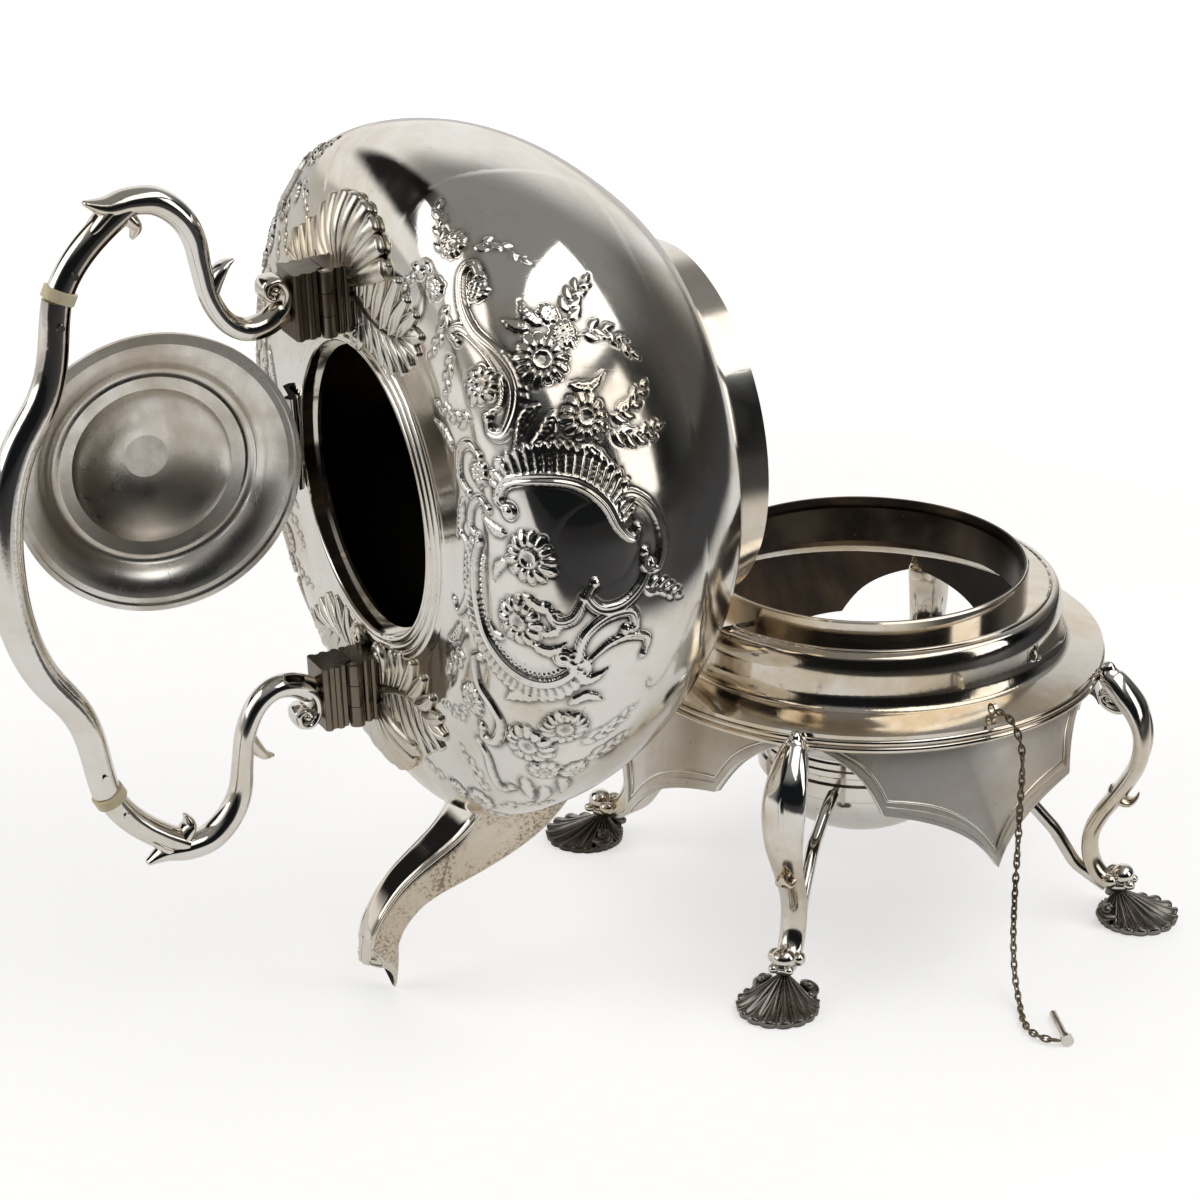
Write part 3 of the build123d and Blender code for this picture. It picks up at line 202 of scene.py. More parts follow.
# ---- finishes ---------------------------------------------------------------------------------
BRIGHT = (0.80, 0.775, 0.73)
STRAW = (0.60, 0.49, 0.34)
BROWN = (0.20, 0.135, 0.085)
# Painted shade: the near-black that darkens recesses, the spout's bore and inner walls.
PAINTED_SHADE = (0.035, 0.028, 0.023)
BODY = [(57.5, 9.6), (66.0, 14.0), (75.8, 20.0), (86.3, 30.0), (94.5, 40.0), (103.2, 55.0),
        (106.9, 65.0), (109.3, 80.6), (108.8, 90.0), (106.1, 97.0), (100.6, 102.2), (93.4, 106.0),
        (86.0, 108.3), (78.0, 109.8), (70.0, 110.2)]
BODY_LOW, BODY_TOP, HALF_WALL = 9.6, 110.2, 0.65
BODY_MARGIN = 0.5               # height at either end of the body that stays bright
COLLAR_WALL = 53.8              # radius in the middle of the collar's wall
SHOULDER_STEPS = ((60.3, 112.0), (65.4, 107.0))     # radius and height inside each step
APRON_TOP_R, APRON_TOP_Z, APRON_TIP_R, APRON_TIP_Z = 73.6, 89.0, 87.6, 44.4
APRON_SLOPE = (APRON_TIP_R - APRON_TOP_R) / (APRON_TOP_Z - APRON_TIP_Z)
APRON_MIDWAY = 0.35             # how far inside the apron's drawn radius its sheet's middle lies
SOFT = 0.1                      # half of a mask's soft edge, in mm as all of these


def curve_through(points, per):
    """A smooth curve through points, as evenly many places in each of its spans."""
    points = np.array(points, float)
    runs = np.linalg.norm(np.diff(points, axis=0), axis=1)
    stops = np.concatenate([[0], np.cumsum(runs)])
    rises = np.diff(points, axis=0) / runs[:, None]
    count = len(points)
    system, wanted = np.eye(count), np.zeros_like(points)
    for near, end in ((slice(0, 4), 0), (slice(-4, None), -1)):
        cubic = np.polyfit(stops[near] - stops[end], points[near], 3)
        wanted[end] = cubic[2]
    for i in range(1, count - 1):
        system[i, i - 1:i + 2] = runs[i], 2 * (runs[i - 1] + runs[i]), runs[i - 1]
        wanted[i] = 3 * (runs[i] * rises[i - 1] + runs[i - 1] * rises[i])
    slopes = np.linalg.solve(system, wanted)
    filled = []
    for i in range(count - 1):
        t = np.linspace(0, 1, per, endpoint=False)[:, None]
        filled.append((1 + 2 * t) * (1 - t) ** 2 * points[i] + t * t * (3 - 2 * t) * points[i + 1]
                      + runs[i] * (t * (1 - t) ** 2 * slopes[i] + t * t * (t - 1) * slopes[i + 1]))
    return np.vstack(filled + [points[-1:]])


def inner_wall(finish, here):
    """1 on the body's inner wall and 0 on its outer one, from its line of radius on height."""
    back = KETTLE.inverted()
    turned = finish.node("ShaderNodeMapping", {}, {
        "Vector": here, "Location": back.translation, "Rotation": back.to_euler()})
    x, y, height = (value / MM for value in finish.split(turned))
    line = curve_through(BODY, 3)
    made = finish.tree.nodes.new("ShaderNodeFloatCurve")
    curve = made.mapping.curves[0]
    reach = BODY_TOP - BODY_LOW
    for number, (radius, level) in enumerate(line):
        spot = ((level - BODY_LOW) / reach, radius / reach - 0.5)
        if 0 < number < len(line) - 1:
            curve.points.new(*spot)
        else:
            curve.points[0 if number == 0 else -1].location = spot
    for point in curve.points:
        point.handle_type = "VECTOR"
    made.mapping.update()
    finish.plug(made.inputs["Value"], (height - BODY_LOW) / reach)
    wall = (Link(finish, made.outputs[0]) + 0.5) * reach - HALF_WALL
    distance = (x * x + y * y) ** 0.5
    foot, crown = BODY_LOW + BODY_MARGIN, BODY_TOP - BODY_MARGIN
    return ((wall - distance).between(0.0, SOFT) * height.between(foot, foot + SOFT)
            * (1 - height.between(crown - SOFT, crown)))


def from_axis(finish, here):
    """Distance from the stand's axis, and height, in mm."""
    x, y, height = (value / MM for value in finish.split(here))
    return (x * x + y * y) ** 0.5, height


def under_shoulder(finish, here):
    """1 on the stand's inner walls and 0 on its outer ones."""
    distance, height = from_axis(finish, here)
    within = 1 - distance.between(COLLAR_WALL - SOFT, COLLAR_WALL + SOFT)
    for radius, level in SHOULDER_STEPS:
        within = within.larger((1 - distance.between(radius - SOFT, radius + SOFT))
                               * (1 - height.between(level - SOFT, level + SOFT)))
    return within


def behind_apron(finish, here):
    """1 on the aprons' inner faces and 0 on their outer ones."""
    distance, height = from_axis(finish, here)
    drawn = APRON_TOP_R + (APRON_TOP_Z - height) * APRON_SLOPE
    return 1 - (distance - drawn).between(-APRON_MIDWAY - SOFT, -APRON_MIDWAY + SOFT)


# Noise on plate: scale, detail, roughness and distortion.
CLOUDS, FILM, SPECKS = (16.0, 4.0, 0.6, 0.6), (55.0, 5.0, 0.65, 0.4), (420.0, 2.0, 0.5)
PITTED, PLANISHED = (900.0, 3.0, 0.7), (38.0, 1.0, 0.3)
# Hairlines: how much the noise is stretched along each axis, and its turn.
HAIRS, CROSS_HAIRS = ((60, 900, 60), (0.4, 0.2, 0.9)), ((1100, 70, 90), (0.1, 0.8, 0.3))
RELIEF_DEPTH = 0.6 * MM


def plate(name, clean=BRIGHT, stain=STRAW, stained=0.5, sheen=0.1, dulled=0.2, scratches=0.3,
          waves=0.3, cavity=None, worn=None, inside=None, metal=1.0):
    """Silver plate: a clean tone with clouds of stain, dark specks and hairline scratches.

    cavity and worn name the attributes that darken recesses with painted shade and dull rubbed
    panels, and inside is the function that tells the inner walls, painted dark as shade, from the
    outer ones.
    """
    finish = Finish(name)
    here = finish.coords()
    clouds = finish.noise(here, *CLOUDS)
    film = finish.noise(here, *FILM)
    specks = finish.noise(here, *SPECKS)
    stain_mask = (clouds * 0.7 + film * 0.3).between(0.40, 0.62) * stained
    colour = finish.mix(stain_mask, clean, stain)
    dark_spots = specks.between(0.66, 0.76) * film.between(0.45, 0.7) * 0.5
    colour = finish.mix(dark_spots, colour, BROWN)
    rough = sheen + dulled * stain_mask + 0.05 * film.between(0.4, 0.8)
    if cavity:
        deep = finish.attribute(cavity)
        # Painted shade: places that the attribute marks as recessed are darkened towards
        # near-black.
        colour = finish.mix(deep, colour, PAINTED_SHADE)
        rough = rough + deep * 0.25
    if worn:
        matt = finish.attribute(worn)
        pits = finish.noise(here, *PITTED).between(0.47, 0.6) * film.between(0.38, 0.56)
        colour = finish.mix(matt * 0.5, colour, STRAW)
        colour = finish.mix(matt * pits * 0.8, colour, BROWN)
        rough = rough + matt * 0.22
    if inside:
        within = inside(finish, here)
        # Painted shade: the inner walls are darkened to clouded near-black and brown.
        colour = finish.mix(within, colour, finish.mix(clouds.between(0.45, 0.75), PAINTED_SHADE, BROWN))
        rough = rough + within * 0.3
    lines = finish.noise(finish.stretched(here, *HAIRS), 1.0, 2.0)
    cross = finish.noise(finish.stretched(here, *CROSS_HAIRS), 1.0, 2.0)
    hairs = lines.between(0.62, 0.72) + cross.between(0.63, 0.73)
    planished = finish.noise(here, *PLANISHED)
    height = hairs * (-0.04 * scratches) + planished * waves + specks * 0.02
    normal = finish.bump(height, 0.5, RELIEF_DEPTH)
    return finish.set(Base_Color=colour, Metallic=metal, Roughness=rough, Normal=normal)


SILVER = plate("silver_bright", stained=0.55, sheen=0.08, dulled=0.13)
SILVER_BODY = plate("silver_body", stained=0.6, sheen=0.065, dulled=0.13, inside=inner_wall)
SILVER_CHASED = plate("silver_chased", stained=0.6, sheen=0.065, dulled=0.13, cavity="recess")
SILVER_LEG = plate("silver_leg", stained=0.85, sheen=0.08, dulled=0.12)
SILVER_MOUNT = plate("silver_mount", clean=(0.68, 0.65, 0.59), stained=0.7, sheen=0.2)
SILVER_SPOUT = plate("silver_spout", stained=0.5, sheen=0.045, dulled=0.04, waves=0.08,
                     cavity="recess", worn="worn")
SILVER_STAND = plate("silver_stand", clean=(0.76, 0.72, 0.66), stained=0.9, sheen=0.055,
                     dulled=0.09, inside=under_shoulder)
SILVER_HANDLE = plate("silver_handle", stained=0.5, sheen=0.065, dulled=0.1)
SILVER_APRON = plate("silver_apron", clean=(0.93, 0.90, 0.84), stain=(0.70, 0.60, 0.48),
                     stained=0.8, sheen=0.36, dulled=0.1, scratches=0.6, inside=behind_apron,
                     metal=0.55)
SILVER_DULL = plate("silver_dull", clean=(0.84, 0.81, 0.76), stain=(0.52, 0.44, 0.34),
                    stained=0.75, sheen=0.22, dulled=0.2, scratches=1.3)
SILVER_BLOCK = plate("silver_block", clean=(0.19, 0.16, 0.125), stain=(0.085, 0.06, 0.04),
                     stained=0.8, sheen=0.2, dulled=0.2)
SILVER_DARK = plate("silver_dark", clean=(0.27, 0.25, 0.225), stain=(0.075, 0.062, 0.05),
                    stained=0.95, sheen=0.2, dulled=0.2)
# Painted shade: a near-black plate for the collar's inner sleeve, which lies in shade inside the
# stand.
SILVER_PAINTED_SHADE = plate("silver_painted_shade", clean=(0.085, 0.066, 0.05), stain=(0.022, 0.017, 0.013),
                    stained=0.9, sheen=0.3, dulled=0.15)
CHAIN_METAL = plate("chain_metal", clean=(0.36, 0.30, 0.20), stain=(0.11, 0.085, 0.05),
                    stained=0.9, sheen=0.25, dulled=0.2)


def ivory():
    finish = Finish("insulator_cream")
    here = finish.coords()
    grain = finish.noise(finish.stretched(here, (900, 900, 120), (0.2, 0.5, 0)), 1.0, 3.0)
    clouds = finish.noise(here, 160.0, 3.0)
    colour = finish.mix(clouds.between(0.4, 0.7), (0.95, 0.86, 0.60), (0.90, 0.75, 0.45))
    colour = finish.mix(grain.between(0.55, 0.8) * 0.4, colour, (0.62, 0.47, 0.27))
    return finish.set(Base_Color=colour, Roughness=0.3 + 0.12 * clouds,
                      Normal=finish.bump(grain, 0.2, 0.1 * MM))


def cotton():
    finish = Finish("wick_cotton")
    here = finish.coords()
    weave = finish.noise(finish.stretched(here, (1500, 1500, 500)), 1.0, 2.0)
    soot = finish.noise(here, 300.0, 3.0).between(0.35, 0.6)
    colour = finish.mix(soot, (0.66, 0.6, 0.5), (0.13, 0.11, 0.09))
    return finish.set(Base_Color=colour, Roughness=0.85,
                      Normal=finish.bump(weave, 0.8, 0.4 * MM))


IVORY = ivory()
COTTON = cotton()


def dress(material, *names):
    """Gives CAD nodes their finish."""
    for name in names:
        slots = NODES[name].data.materials
        slots.clear()
        slots.append(material)


def both(stem):
    return stem + "_front", stem + "_rear"


LEGS = ("rear_far", "front_far", "front_near", "rear_near")
APRONS = ("rear", "far", "front", "near")
dress(SILVER_STAND, "stand_body", "collar", "flange_reeds")
dress(SILVER, "burner_ring", "stand_hinge_leaf", "chain_eyelet", "loose_pin", "hinge_pin",
      "burner_bowl", "burner_cover", "wick_tube", "snuffer_cap", "mouth_moulding", "foot_ring",
      "spout", *both("mount"), "kettle_hinge_leaf", "lid_hinge_seat", "lid_pin",
      *both("handle_pin"), "finial", "lid_hinge_leaf")
dress(SILVER_BODY, "kettle_body")
dress(SILVER_BLOCK, *both("handle_seat"), *both("handle_leaf"))
dress(SILVER_HANDLE, *both("handle_arm"), *both("handle_socket"), "grip", "handle_rivets")
dress(SILVER_DULL, "lid_shell")
# The collar's inner sleeve is painted dark as shade.
dress(SILVER_PAINTED_SHADE, "collar_sleeve")
dress(SILVER_DARK, *("foot_" + leg for leg in LEGS))
dress(SILVER, *("leg_" + leg for leg in LEGS), *("burner_rod_" + leg for leg in LEGS))
dress(SILVER_APRON, *("apron_" + side for side in APRONS))
dress(CHAIN_METAL, "pin_chain")
dress(IVORY, *both("ivory_ring"))
dress(COTTON, "wick")

for node in NODES.values():
    node.data.shade_smooth()

# ---- the pin's chain --------------------------------------------------------------------------
CHAIN = [(3.46, -79.05, 94.8), (3.85, -83.6, 95.4), (4.4, -88.0, 93.4), (4.9, -90.9, 89.2),
         (5.3, -92.0, 84.0), (5.6, -91.8, 76.4), (5.75, -91.1, 66.6), (5.6, -91.3, 55.6),
         (5.45, -91.1, 44.0), (5.2, -91.3, 32.0), (4.9, -91.8, 22.4), (4.3, -93.4, 14.6),
         (3.2, -96.3, 8.2), (1.8, -100.4, 4.0), (0.0, -105.0, 1.9), (-2.6, -110.2, 1.25),
         (-4.7, -115.2, 1.5), (-5.8, -120.0, 1.3), (-5.4, -124.6, 1.7), (-3.9, -128.2, 1.8),
         (-1.3, -130.5, 2.1)]
LINK_PITCH, LINK_WIRE, LINK_RING = 2.7 * MM, 0.4 * MM, 1.12 * MM
LINK_STRETCH = (0.86, 1.6, 0.95, 1.0)


def chain_line():
    """Points along the chain's smooth line."""
    curve = bpy.data.curves.new("chain_line", "CURVE")
    curve.dimensions = "3D"
    curve.resolution_u = 24
    spline = curve.splines.new("NURBS")
    spline.points.add(len(CHAIN) - 1)
    for point, place in zip(spline.points, CHAIN):
        point.co = (*(value * MM for value in place), 1)
    spline.order_u = 3
    spline.use_endpoint_u = True
    holder = bpy.data.objects.new("chain_line", curve)
    line = bpy.data.meshes.new_from_object(holder)
    points = [vertex.co.copy() for vertex in line.vertices]
    bpy.data.objects.remove(holder)
    return points


def along(points, pitch):
    """Evenly spaced (place, direction) pairs on a line of points."""
    found, carried = [], pitch / 2
    for start, end in zip(points, points[1:]):
        run = (end - start).length
        while carried <= run:
            found.append((start.lerp(end, carried / run), (end - start).normalized()))
            carried += pitch
        carried -= run
    return found


def piece(name, solid, material, body, *replaced, slot="silver_plate"):
    """A finished piece as an object at the origin that rides on a body."""
    mesh = bpy.data.meshes.new(name)
    solid.to_mesh(mesh)
    solid.free()
    mesh.materials.append(material)
    mesh.shade_smooth()
    made = bpy.data.objects.new(name, mesh)
    bpy.context.scene.collection.objects.link(made)
    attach(made, body)
    if replaced:
        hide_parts(*replaced)
    return made


def edges_of(verts):
    """The edges at some vertices, each once and in a fixed order."""
    return list(dict.fromkeys(edge for vert in verts for edge in vert.link_edges))


def extruded(solid, edges):
    """The new ring of vertices and of edges that an extrusion of a ring of edges makes."""
    made = bmesh.ops.extrude_edge_only(solid, edges=edges)["geom"]
    verts = [item for item in made if isinstance(item, bmesh.types.BMVert)]
    return verts, [item for item in made if isinstance(item, bmesh.types.BMEdge)
                   and item.verts[0] in verts and item.verts[1] in verts]


def chain_links():
    """Curb links, each turned a quarter from the last and laid along the line."""
    points = chain_line()
    links = bmesh.new()
    for count, (place, heading) in enumerate(along(points, LINK_PITCH)):
        rim = bmesh.ops.create_circle(links, radius=LINK_WIRE, segments=6)["verts"]
        turn = Matrix.Translation((LINK_RING, 0, 0)) @ Matrix.Rotation(math.pi / 2, 4, "X")
        bmesh.ops.transform(links, matrix=turn, verts=rim)
        bmesh.ops.spin(links, geom=rim + edges_of(rim), axis=(0, 0, 1), cent=(0, 0, 0),
                       angle=math.tau, steps=14, use_merge=True)
        made = [vert for vert in links.verts if not vert.tag]
        twist = math.radians(45 + 90 * (count % 2))
        turned = heading.to_track_quat("Y", "Z").to_matrix().to_4x4()
        turned = Matrix.Translation(place) @ turned @ Matrix.Rotation(twist, 4, "Y")
        bmesh.ops.transform(links, verts=made, matrix=turned @ Matrix.Diagonal(LINK_STRETCH))
        for vert in made:
            vert.tag = True
    bmesh.ops.recalc_face_normals(links, faces=links.faces)
    made = piece("curb_chain", links, CHAIN_METAL, "stand", "pin_chain", slot="chain_metal")


chain_links()


# ---- chased ornament on the body --------------------------------------------------------------
# A place on the body is (turn, reach): degrees from the rear towards the spout round either flank,
# and millimetres down the body's line from its crown.
SKIN_ROWS, SKIN_STEPS = 250, 330
SKIN_TOP, SKIN_FOOT = 8.0, 122.0
SKIN_PROUD, SKIN_SUNK, SKIN_HEM = 0.12, 0.45, 0.06
INNER_STEP = 25                         # outer rows to each row of the skin's inner side
RECESS_DEPTH = 0.35                     # a hollow this much lower than its surroundings gets the full painted shade
WIDEST = cad_high[1] - 0.01 * MM        # the far flank stays within the solids' own width
FLANK_FIRST, FLANK_MIDDLE, FLANK_LAST = 15, 90, 165
CROWN_INNER_R, CROWN_OUTER_R = 47.8, 69.6


def body_line():
    """The body's outer line as (reach, radius, height) arrays in mm, from its crown down."""
    places = curve_through(BODY, 40)[::-1]
    flat = np.linspace(CROWN_INNER_R, CROWN_OUTER_R, 50)
    crown = np.stack([flat, np.full(len(flat), places[0][1])], -1)
    places = np.vstack([crown, places])
    run = np.hypot(*np.diff(places, axis=0).T)
    return np.concatenate([[0], np.cumsum(run)]), places[:, 0], places[:, 1]


def smooth_rows(rows, per):
    """Rows of numbers with a smooth curve through them filled in."""
    rows = np.asarray(rows, float)
    padded = np.vstack([rows[:1], rows, rows[-1:]])
    filled = []
    for p0, p1, p2, p3 in zip(padded, padded[1:], padded[2:], padded[3:]):
        for step in range(per):
            t = step / per
            filled.append(0.5 * (2 * p1 + (p2 - p0) * t + (2 * p0 - 5 * p1 + 4 * p2 - p3) * t * t
                                 + (3 * p1 - p0 - 3 * p2 + p3) * t ** 3))
    filled.append(rows[-1])
    return np.array(filled)


REACH, RADIUS, HEIGHT = body_line()
BELLY = int(np.argmax(RADIUS))


def on_body(turn, reach):
    """Points on the body's far flank in its own frame, in mm."""
    turn = np.radians(turn)
    radius, height = np.interp(reach, REACH, RADIUS), np.interp(reach, REACH, HEIGHT)
    return np.stack([radius * np.cos(turn), radius * np.sin(turn), height], -1)


def leaning(turn, reach):
    """The body's outward direction there."""
    radius, height = np.gradient(RADIUS, REACH), np.gradient(HEIGHT, REACH)
    out, up = -np.interp(reach, REACH, height), np.interp(reach, REACH, radius)
    size = np.hypot(out, up)
    turn = np.radians(turn)
    return np.stack([out / size * np.cos(turn), out / size * np.sin(turn), up / size], -1)


def ease(value, start, end):
    share = np.clip((value - start) / (end - start), 0, 1)
    return share * share * (3 - 2 * share)


def bell(value, middle, width):
    return np.exp(-((value - middle) / width) ** 2)


class Relief:
    """Heights in mm over a set of places on the body, built up motif by motif."""

    def __init__(self, turns, reaches):
        self.places = on_body(turns, reaches)
        self.normals = leaning(turns, reaches)
        self.raised = np.zeros(len(turns))
        self.cut = np.zeros(len(turns))

    def near(self, line, margin):
        low, high = line.min(0) - margin, line.max(0) + margin
        inside = np.all((self.places > low) & (self.places < high), axis=1)
        return np.nonzero(inside)[0]

    def facing(self, spot, chosen):
        """How far round and how far down the body places are from a spot."""
        away = self.places[chosen] - on_body(*spot)
        normal = leaning(*spot)
        round_way = np.cross(normal, [0, 0, 1.0])
        round_way /= np.linalg.norm(round_way)
        return away @ round_way, away @ np.cross(normal, round_way)

    def lift(self, chosen, height):
        self.raised[chosen] = np.maximum(self.raised[chosen], height)

    def sink(self, chosen, depth):
        self.cut[chosen] = np.minimum(self.cut[chosen], -depth)

    def beside(self, spots, margin):
        """Which places are near a line through spots, how far along and off it, and its length."""
        dense = smooth_rows(spots, 24)
        line = on_body(dense[:, 0], dense[:, 1])
        run = np.concatenate([[0], np.cumsum(np.linalg.norm(np.diff(line, axis=0), axis=1))])
        count = max(int(run[-1] / 0.3), 12)
        even = np.linspace(0, run[-1], count)
        line = np.stack([np.interp(even, run, line[:, axis]) for axis in range(3)], -1)
        heading = np.gradient(line, axis=0)
        heading /= np.linalg.norm(heading, axis=1)[:, None]
        chosen = self.near(line, margin)
        nearest = np.zeros(len(chosen), int)
        for start in range(0, len(chosen), 4000):
            block = self.places[chosen[start:start + 4000]]
            apart = ((block[:, None, :] - line[None]) ** 2).sum(-1)
            nearest[start:start + 4000] = apart.argmin(1)
        away = self.places[chosen] - line[nearest]
        along = (away * heading[nearest]).sum(1)
        across = np.cross(heading[nearest], self.normals[chosen])
        off = (away * across).sum(1)
        past_end = ((nearest == 0) & (along < 0)) | ((nearest == count - 1) & (along > 0))
        off = np.where(past_end, np.sign(off + 1e-9) * np.linalg.norm(away, axis=1), off)
        share = nearest / (count - 1)
        return chosen, share, off, run[-1]

    def scroll(self, spots, width=3.2, height=1.3, hollow=0.45, curl=(1.0, 1.0)):
        """A C-scroll: a raised band with a hollow down its middle and a boss at each end."""
        chosen, share, off, _ = self.beside(spots, width + 1.5)
        half = width / 2 * (0.42 + 0.58 * np.sin(np.pi * share) ** 0.55)
        side = np.abs(off) / half
        rise = np.sqrt(np.clip(1 - side ** 2.4, 0, 1))
        self.lift(chosen, height * rise * (1 - hollow * bell(off, 0, 0.42 * half)))
        self.sink(chosen, 0.22 * bell(np.abs(off) - half, 0.35, 0.32))
        for spot, size in ((spots[0], curl[0]), (spots[-1], curl[1])):
            if size:
                self.boss(spot, 0.52 * width * size, height * 1.05)

    def boss(self, spot, radius, height):
        """A small dome with a ring in it."""
        middle = on_body(*spot)[None]
        chosen = self.near(middle, radius + 1)
        apart = np.linalg.norm(self.places[chosen] - middle, axis=1) / radius
        dome = np.sqrt(np.clip(1 - apart ** 2, 0, 1))
        ring = 0.35 * bell(apart, 0.52, 0.14)
        self.lift(chosen, height * (dome - ring * (apart < 1)))
        self.sink(chosen, 0.2 * bell(apart, 1.18, 0.16))

    def ruffle(self, spots, side, reach, flutes, height=1.0, lean=0.3, start=0.0):
        """Flutes that fan out on one side of a line, with a scalloped edge."""
        chosen, share, off, _ = self.beside(spots, reach + 1)
        out = off * side - start
        ends = np.sin(np.pi * np.clip(share, 0.0, 1.0)) ** 0.45
        full = reach * (0.35 + 0.65 * ends)
        depth = np.clip(out / full, 0, 2)
        phase = share * flutes + lean * depth ** 1.5
        crest = np.abs(np.cos(np.pi * phase))
        edge = 0.8 + 0.2 * crest
        inside = (out > 0) & (depth < edge)
        body = ease(depth, 0, 0.12) * (1 - 0.6 * depth)
        ribs = 0.06 * np.cos(out * 7.5) * crest
        rolled = 0.25 * bell(depth - edge, -0.1, 0.07)
        lift = height * (0.22 + 0.78 * crest ** 0.8) * body + ribs + rolled
        self.lift(chosen, np.where(inside, lift, 0))
        outside = (out > 0) & (depth >= edge)
        self.sink(chosen, np.where(outside, 0.25 * bell((depth - edge) * full, 0, 0.5), 0))

    def blossom(self, spot, radius, petals=12, height=1.25, squash=1.0, turn=0.0):
        """An open flower: domed petals with a vein round a stippled, ringed centre."""
        chosen = self.near(on_body(*spot)[None], radius * 1.25 + 1)
        first, second = self.facing(spot, chosen)
        second = second / squash
        apart = np.hypot(first, second) / radius
        angle = np.arctan2(second, first) + turn
        part = (angle / (2 * np.pi) * petals) % 1
        gap = np.abs(2 * part - 1)
        wobble = 0.06 * np.sin(3 * angle + spot[0]) + 0.04 * np.sin(5 * angle + spot[1])
        edge = (1 + wobble) * (1 - 0.2 * gap ** 2.2)
        radial = ease(apart, 0.3, 0.55) * (1 - 0.75 * ease(apart, 0.62, 1.02))
        petal = (1 - 0.85 * gap ** 3) - 0.3 * bell(gap, 0, 0.16) * ease(apart, 0.4, 0.6)
        lift = height * radial * petal
        centre = height * (0.75 + 0.12 * np.cos(9 * angle) * np.cos(apart * 40)) * (apart < 0.3)
        ring = height * 1.05 * bell(apart, 0.33, 0.05)
        lift = np.maximum(np.maximum(lift, centre * (1 - 0.35 * (apart < 0.2))), ring)
        self.raised[chosen] = np.where(apart < edge, lift + 0.12, self.raised[chosen])
        groove = 0.3 * bell((apart - edge) * radius, 0, 0.5)
        self.sink(chosen, np.where(apart >= edge, groove, 0))

    def leaf(self, spots, width, height=0.75, teeth=4):
        """A pointed leaf along a line, with a sunk vein and a notched edge."""
        chosen, share, off, _ = self.beside(spots, width + 1)
        notch = 1 - 0.24 * np.abs(np.sin(np.pi * share * teeth + 0.6)) * (teeth > 0)
        half = width / 2 * np.clip(np.sin(np.pi * share ** 0.75), 0.02, 1) * notch
        side = np.abs(off) / half
        rise = np.sqrt(np.clip(1 - side ** 2, 0, 1)) * (1 - 0.35 * share)
        vein = 0.45 * bell(off, 0, 0.32) * (1 - share)
        ribs = 0.12 * np.cos(share * teeth * 12 - np.abs(off) * 3)
        self.lift(chosen, height * rise * (1 - vein + ribs))
        self.sink(chosen, 0.16 * bell(np.abs(off) - half, 0.25, 0.28) * (share > 0.02))

    def spray(self, spots, leaves, length, width=2.2, height=0.55):
        """A thin stem with leaves down both sides and one at its tip."""
        self.leaf(spots, 0.9, height * 0.7, 0)
        dense = smooth_rows(spots, 16)
        steps = np.linspace(0.15, 0.97, leaves)
        for number, step in enumerate(steps):
            index = int(step * (len(dense) - 2))
            root = dense[index]
            scale = math.radians(1) * float(np.interp(root[1], REACH, RADIUS))
            ahead = (dense[index + 1] - dense[index]) * (scale, 1)
            heading = math.atan2(ahead[1], ahead[0])
            last = number == leaves - 1
            swing = 0 if last else (0.75 if number % 2 else -0.75)
            size = length * (1.15 - 0.5 * step)
            way = np.array([math.cos(heading + swing) / scale, math.sin(heading + swing)])
            bent = np.array([math.cos(heading + 0.5 * swing) / scale,
                             math.sin(heading + 0.5 * swing)])
            knee = root + way * size * 0.5
            self.leaf([root, knee, knee + bent * size * 0.5], width * (1.1 - 0.4 * step), height, 0)

    def beads(self, spots, off_line, pitch, radius, height=0.6):
        """A row of small beads beside a line."""
        chosen, share, off, length = self.beside(spots, abs(off_line) + radius + 1)
        phase = (share * length / pitch) % 1 - 0.5
        apart = np.hypot(phase * pitch, off - off_line) / radius
        inside = (share > 0.04) & (share < 0.96)
        self.lift(chosen, height * np.sqrt(np.clip(1 - apart ** 2, 0, 1)) * inside)

    def dish(self, spot, across, down, depth):
        """A smooth hollow panel."""
        first, second = self.facing(spot, slice(None))
        apart = np.hypot(first / across, second / down)
        self.cut = np.minimum(self.cut, -depth * (1 - ease(apart, 0.55, 1.0)))

    def heights(self):
        return np.where(self.raised > 0.02, np.maximum(self.raised, self.cut), self.cut)


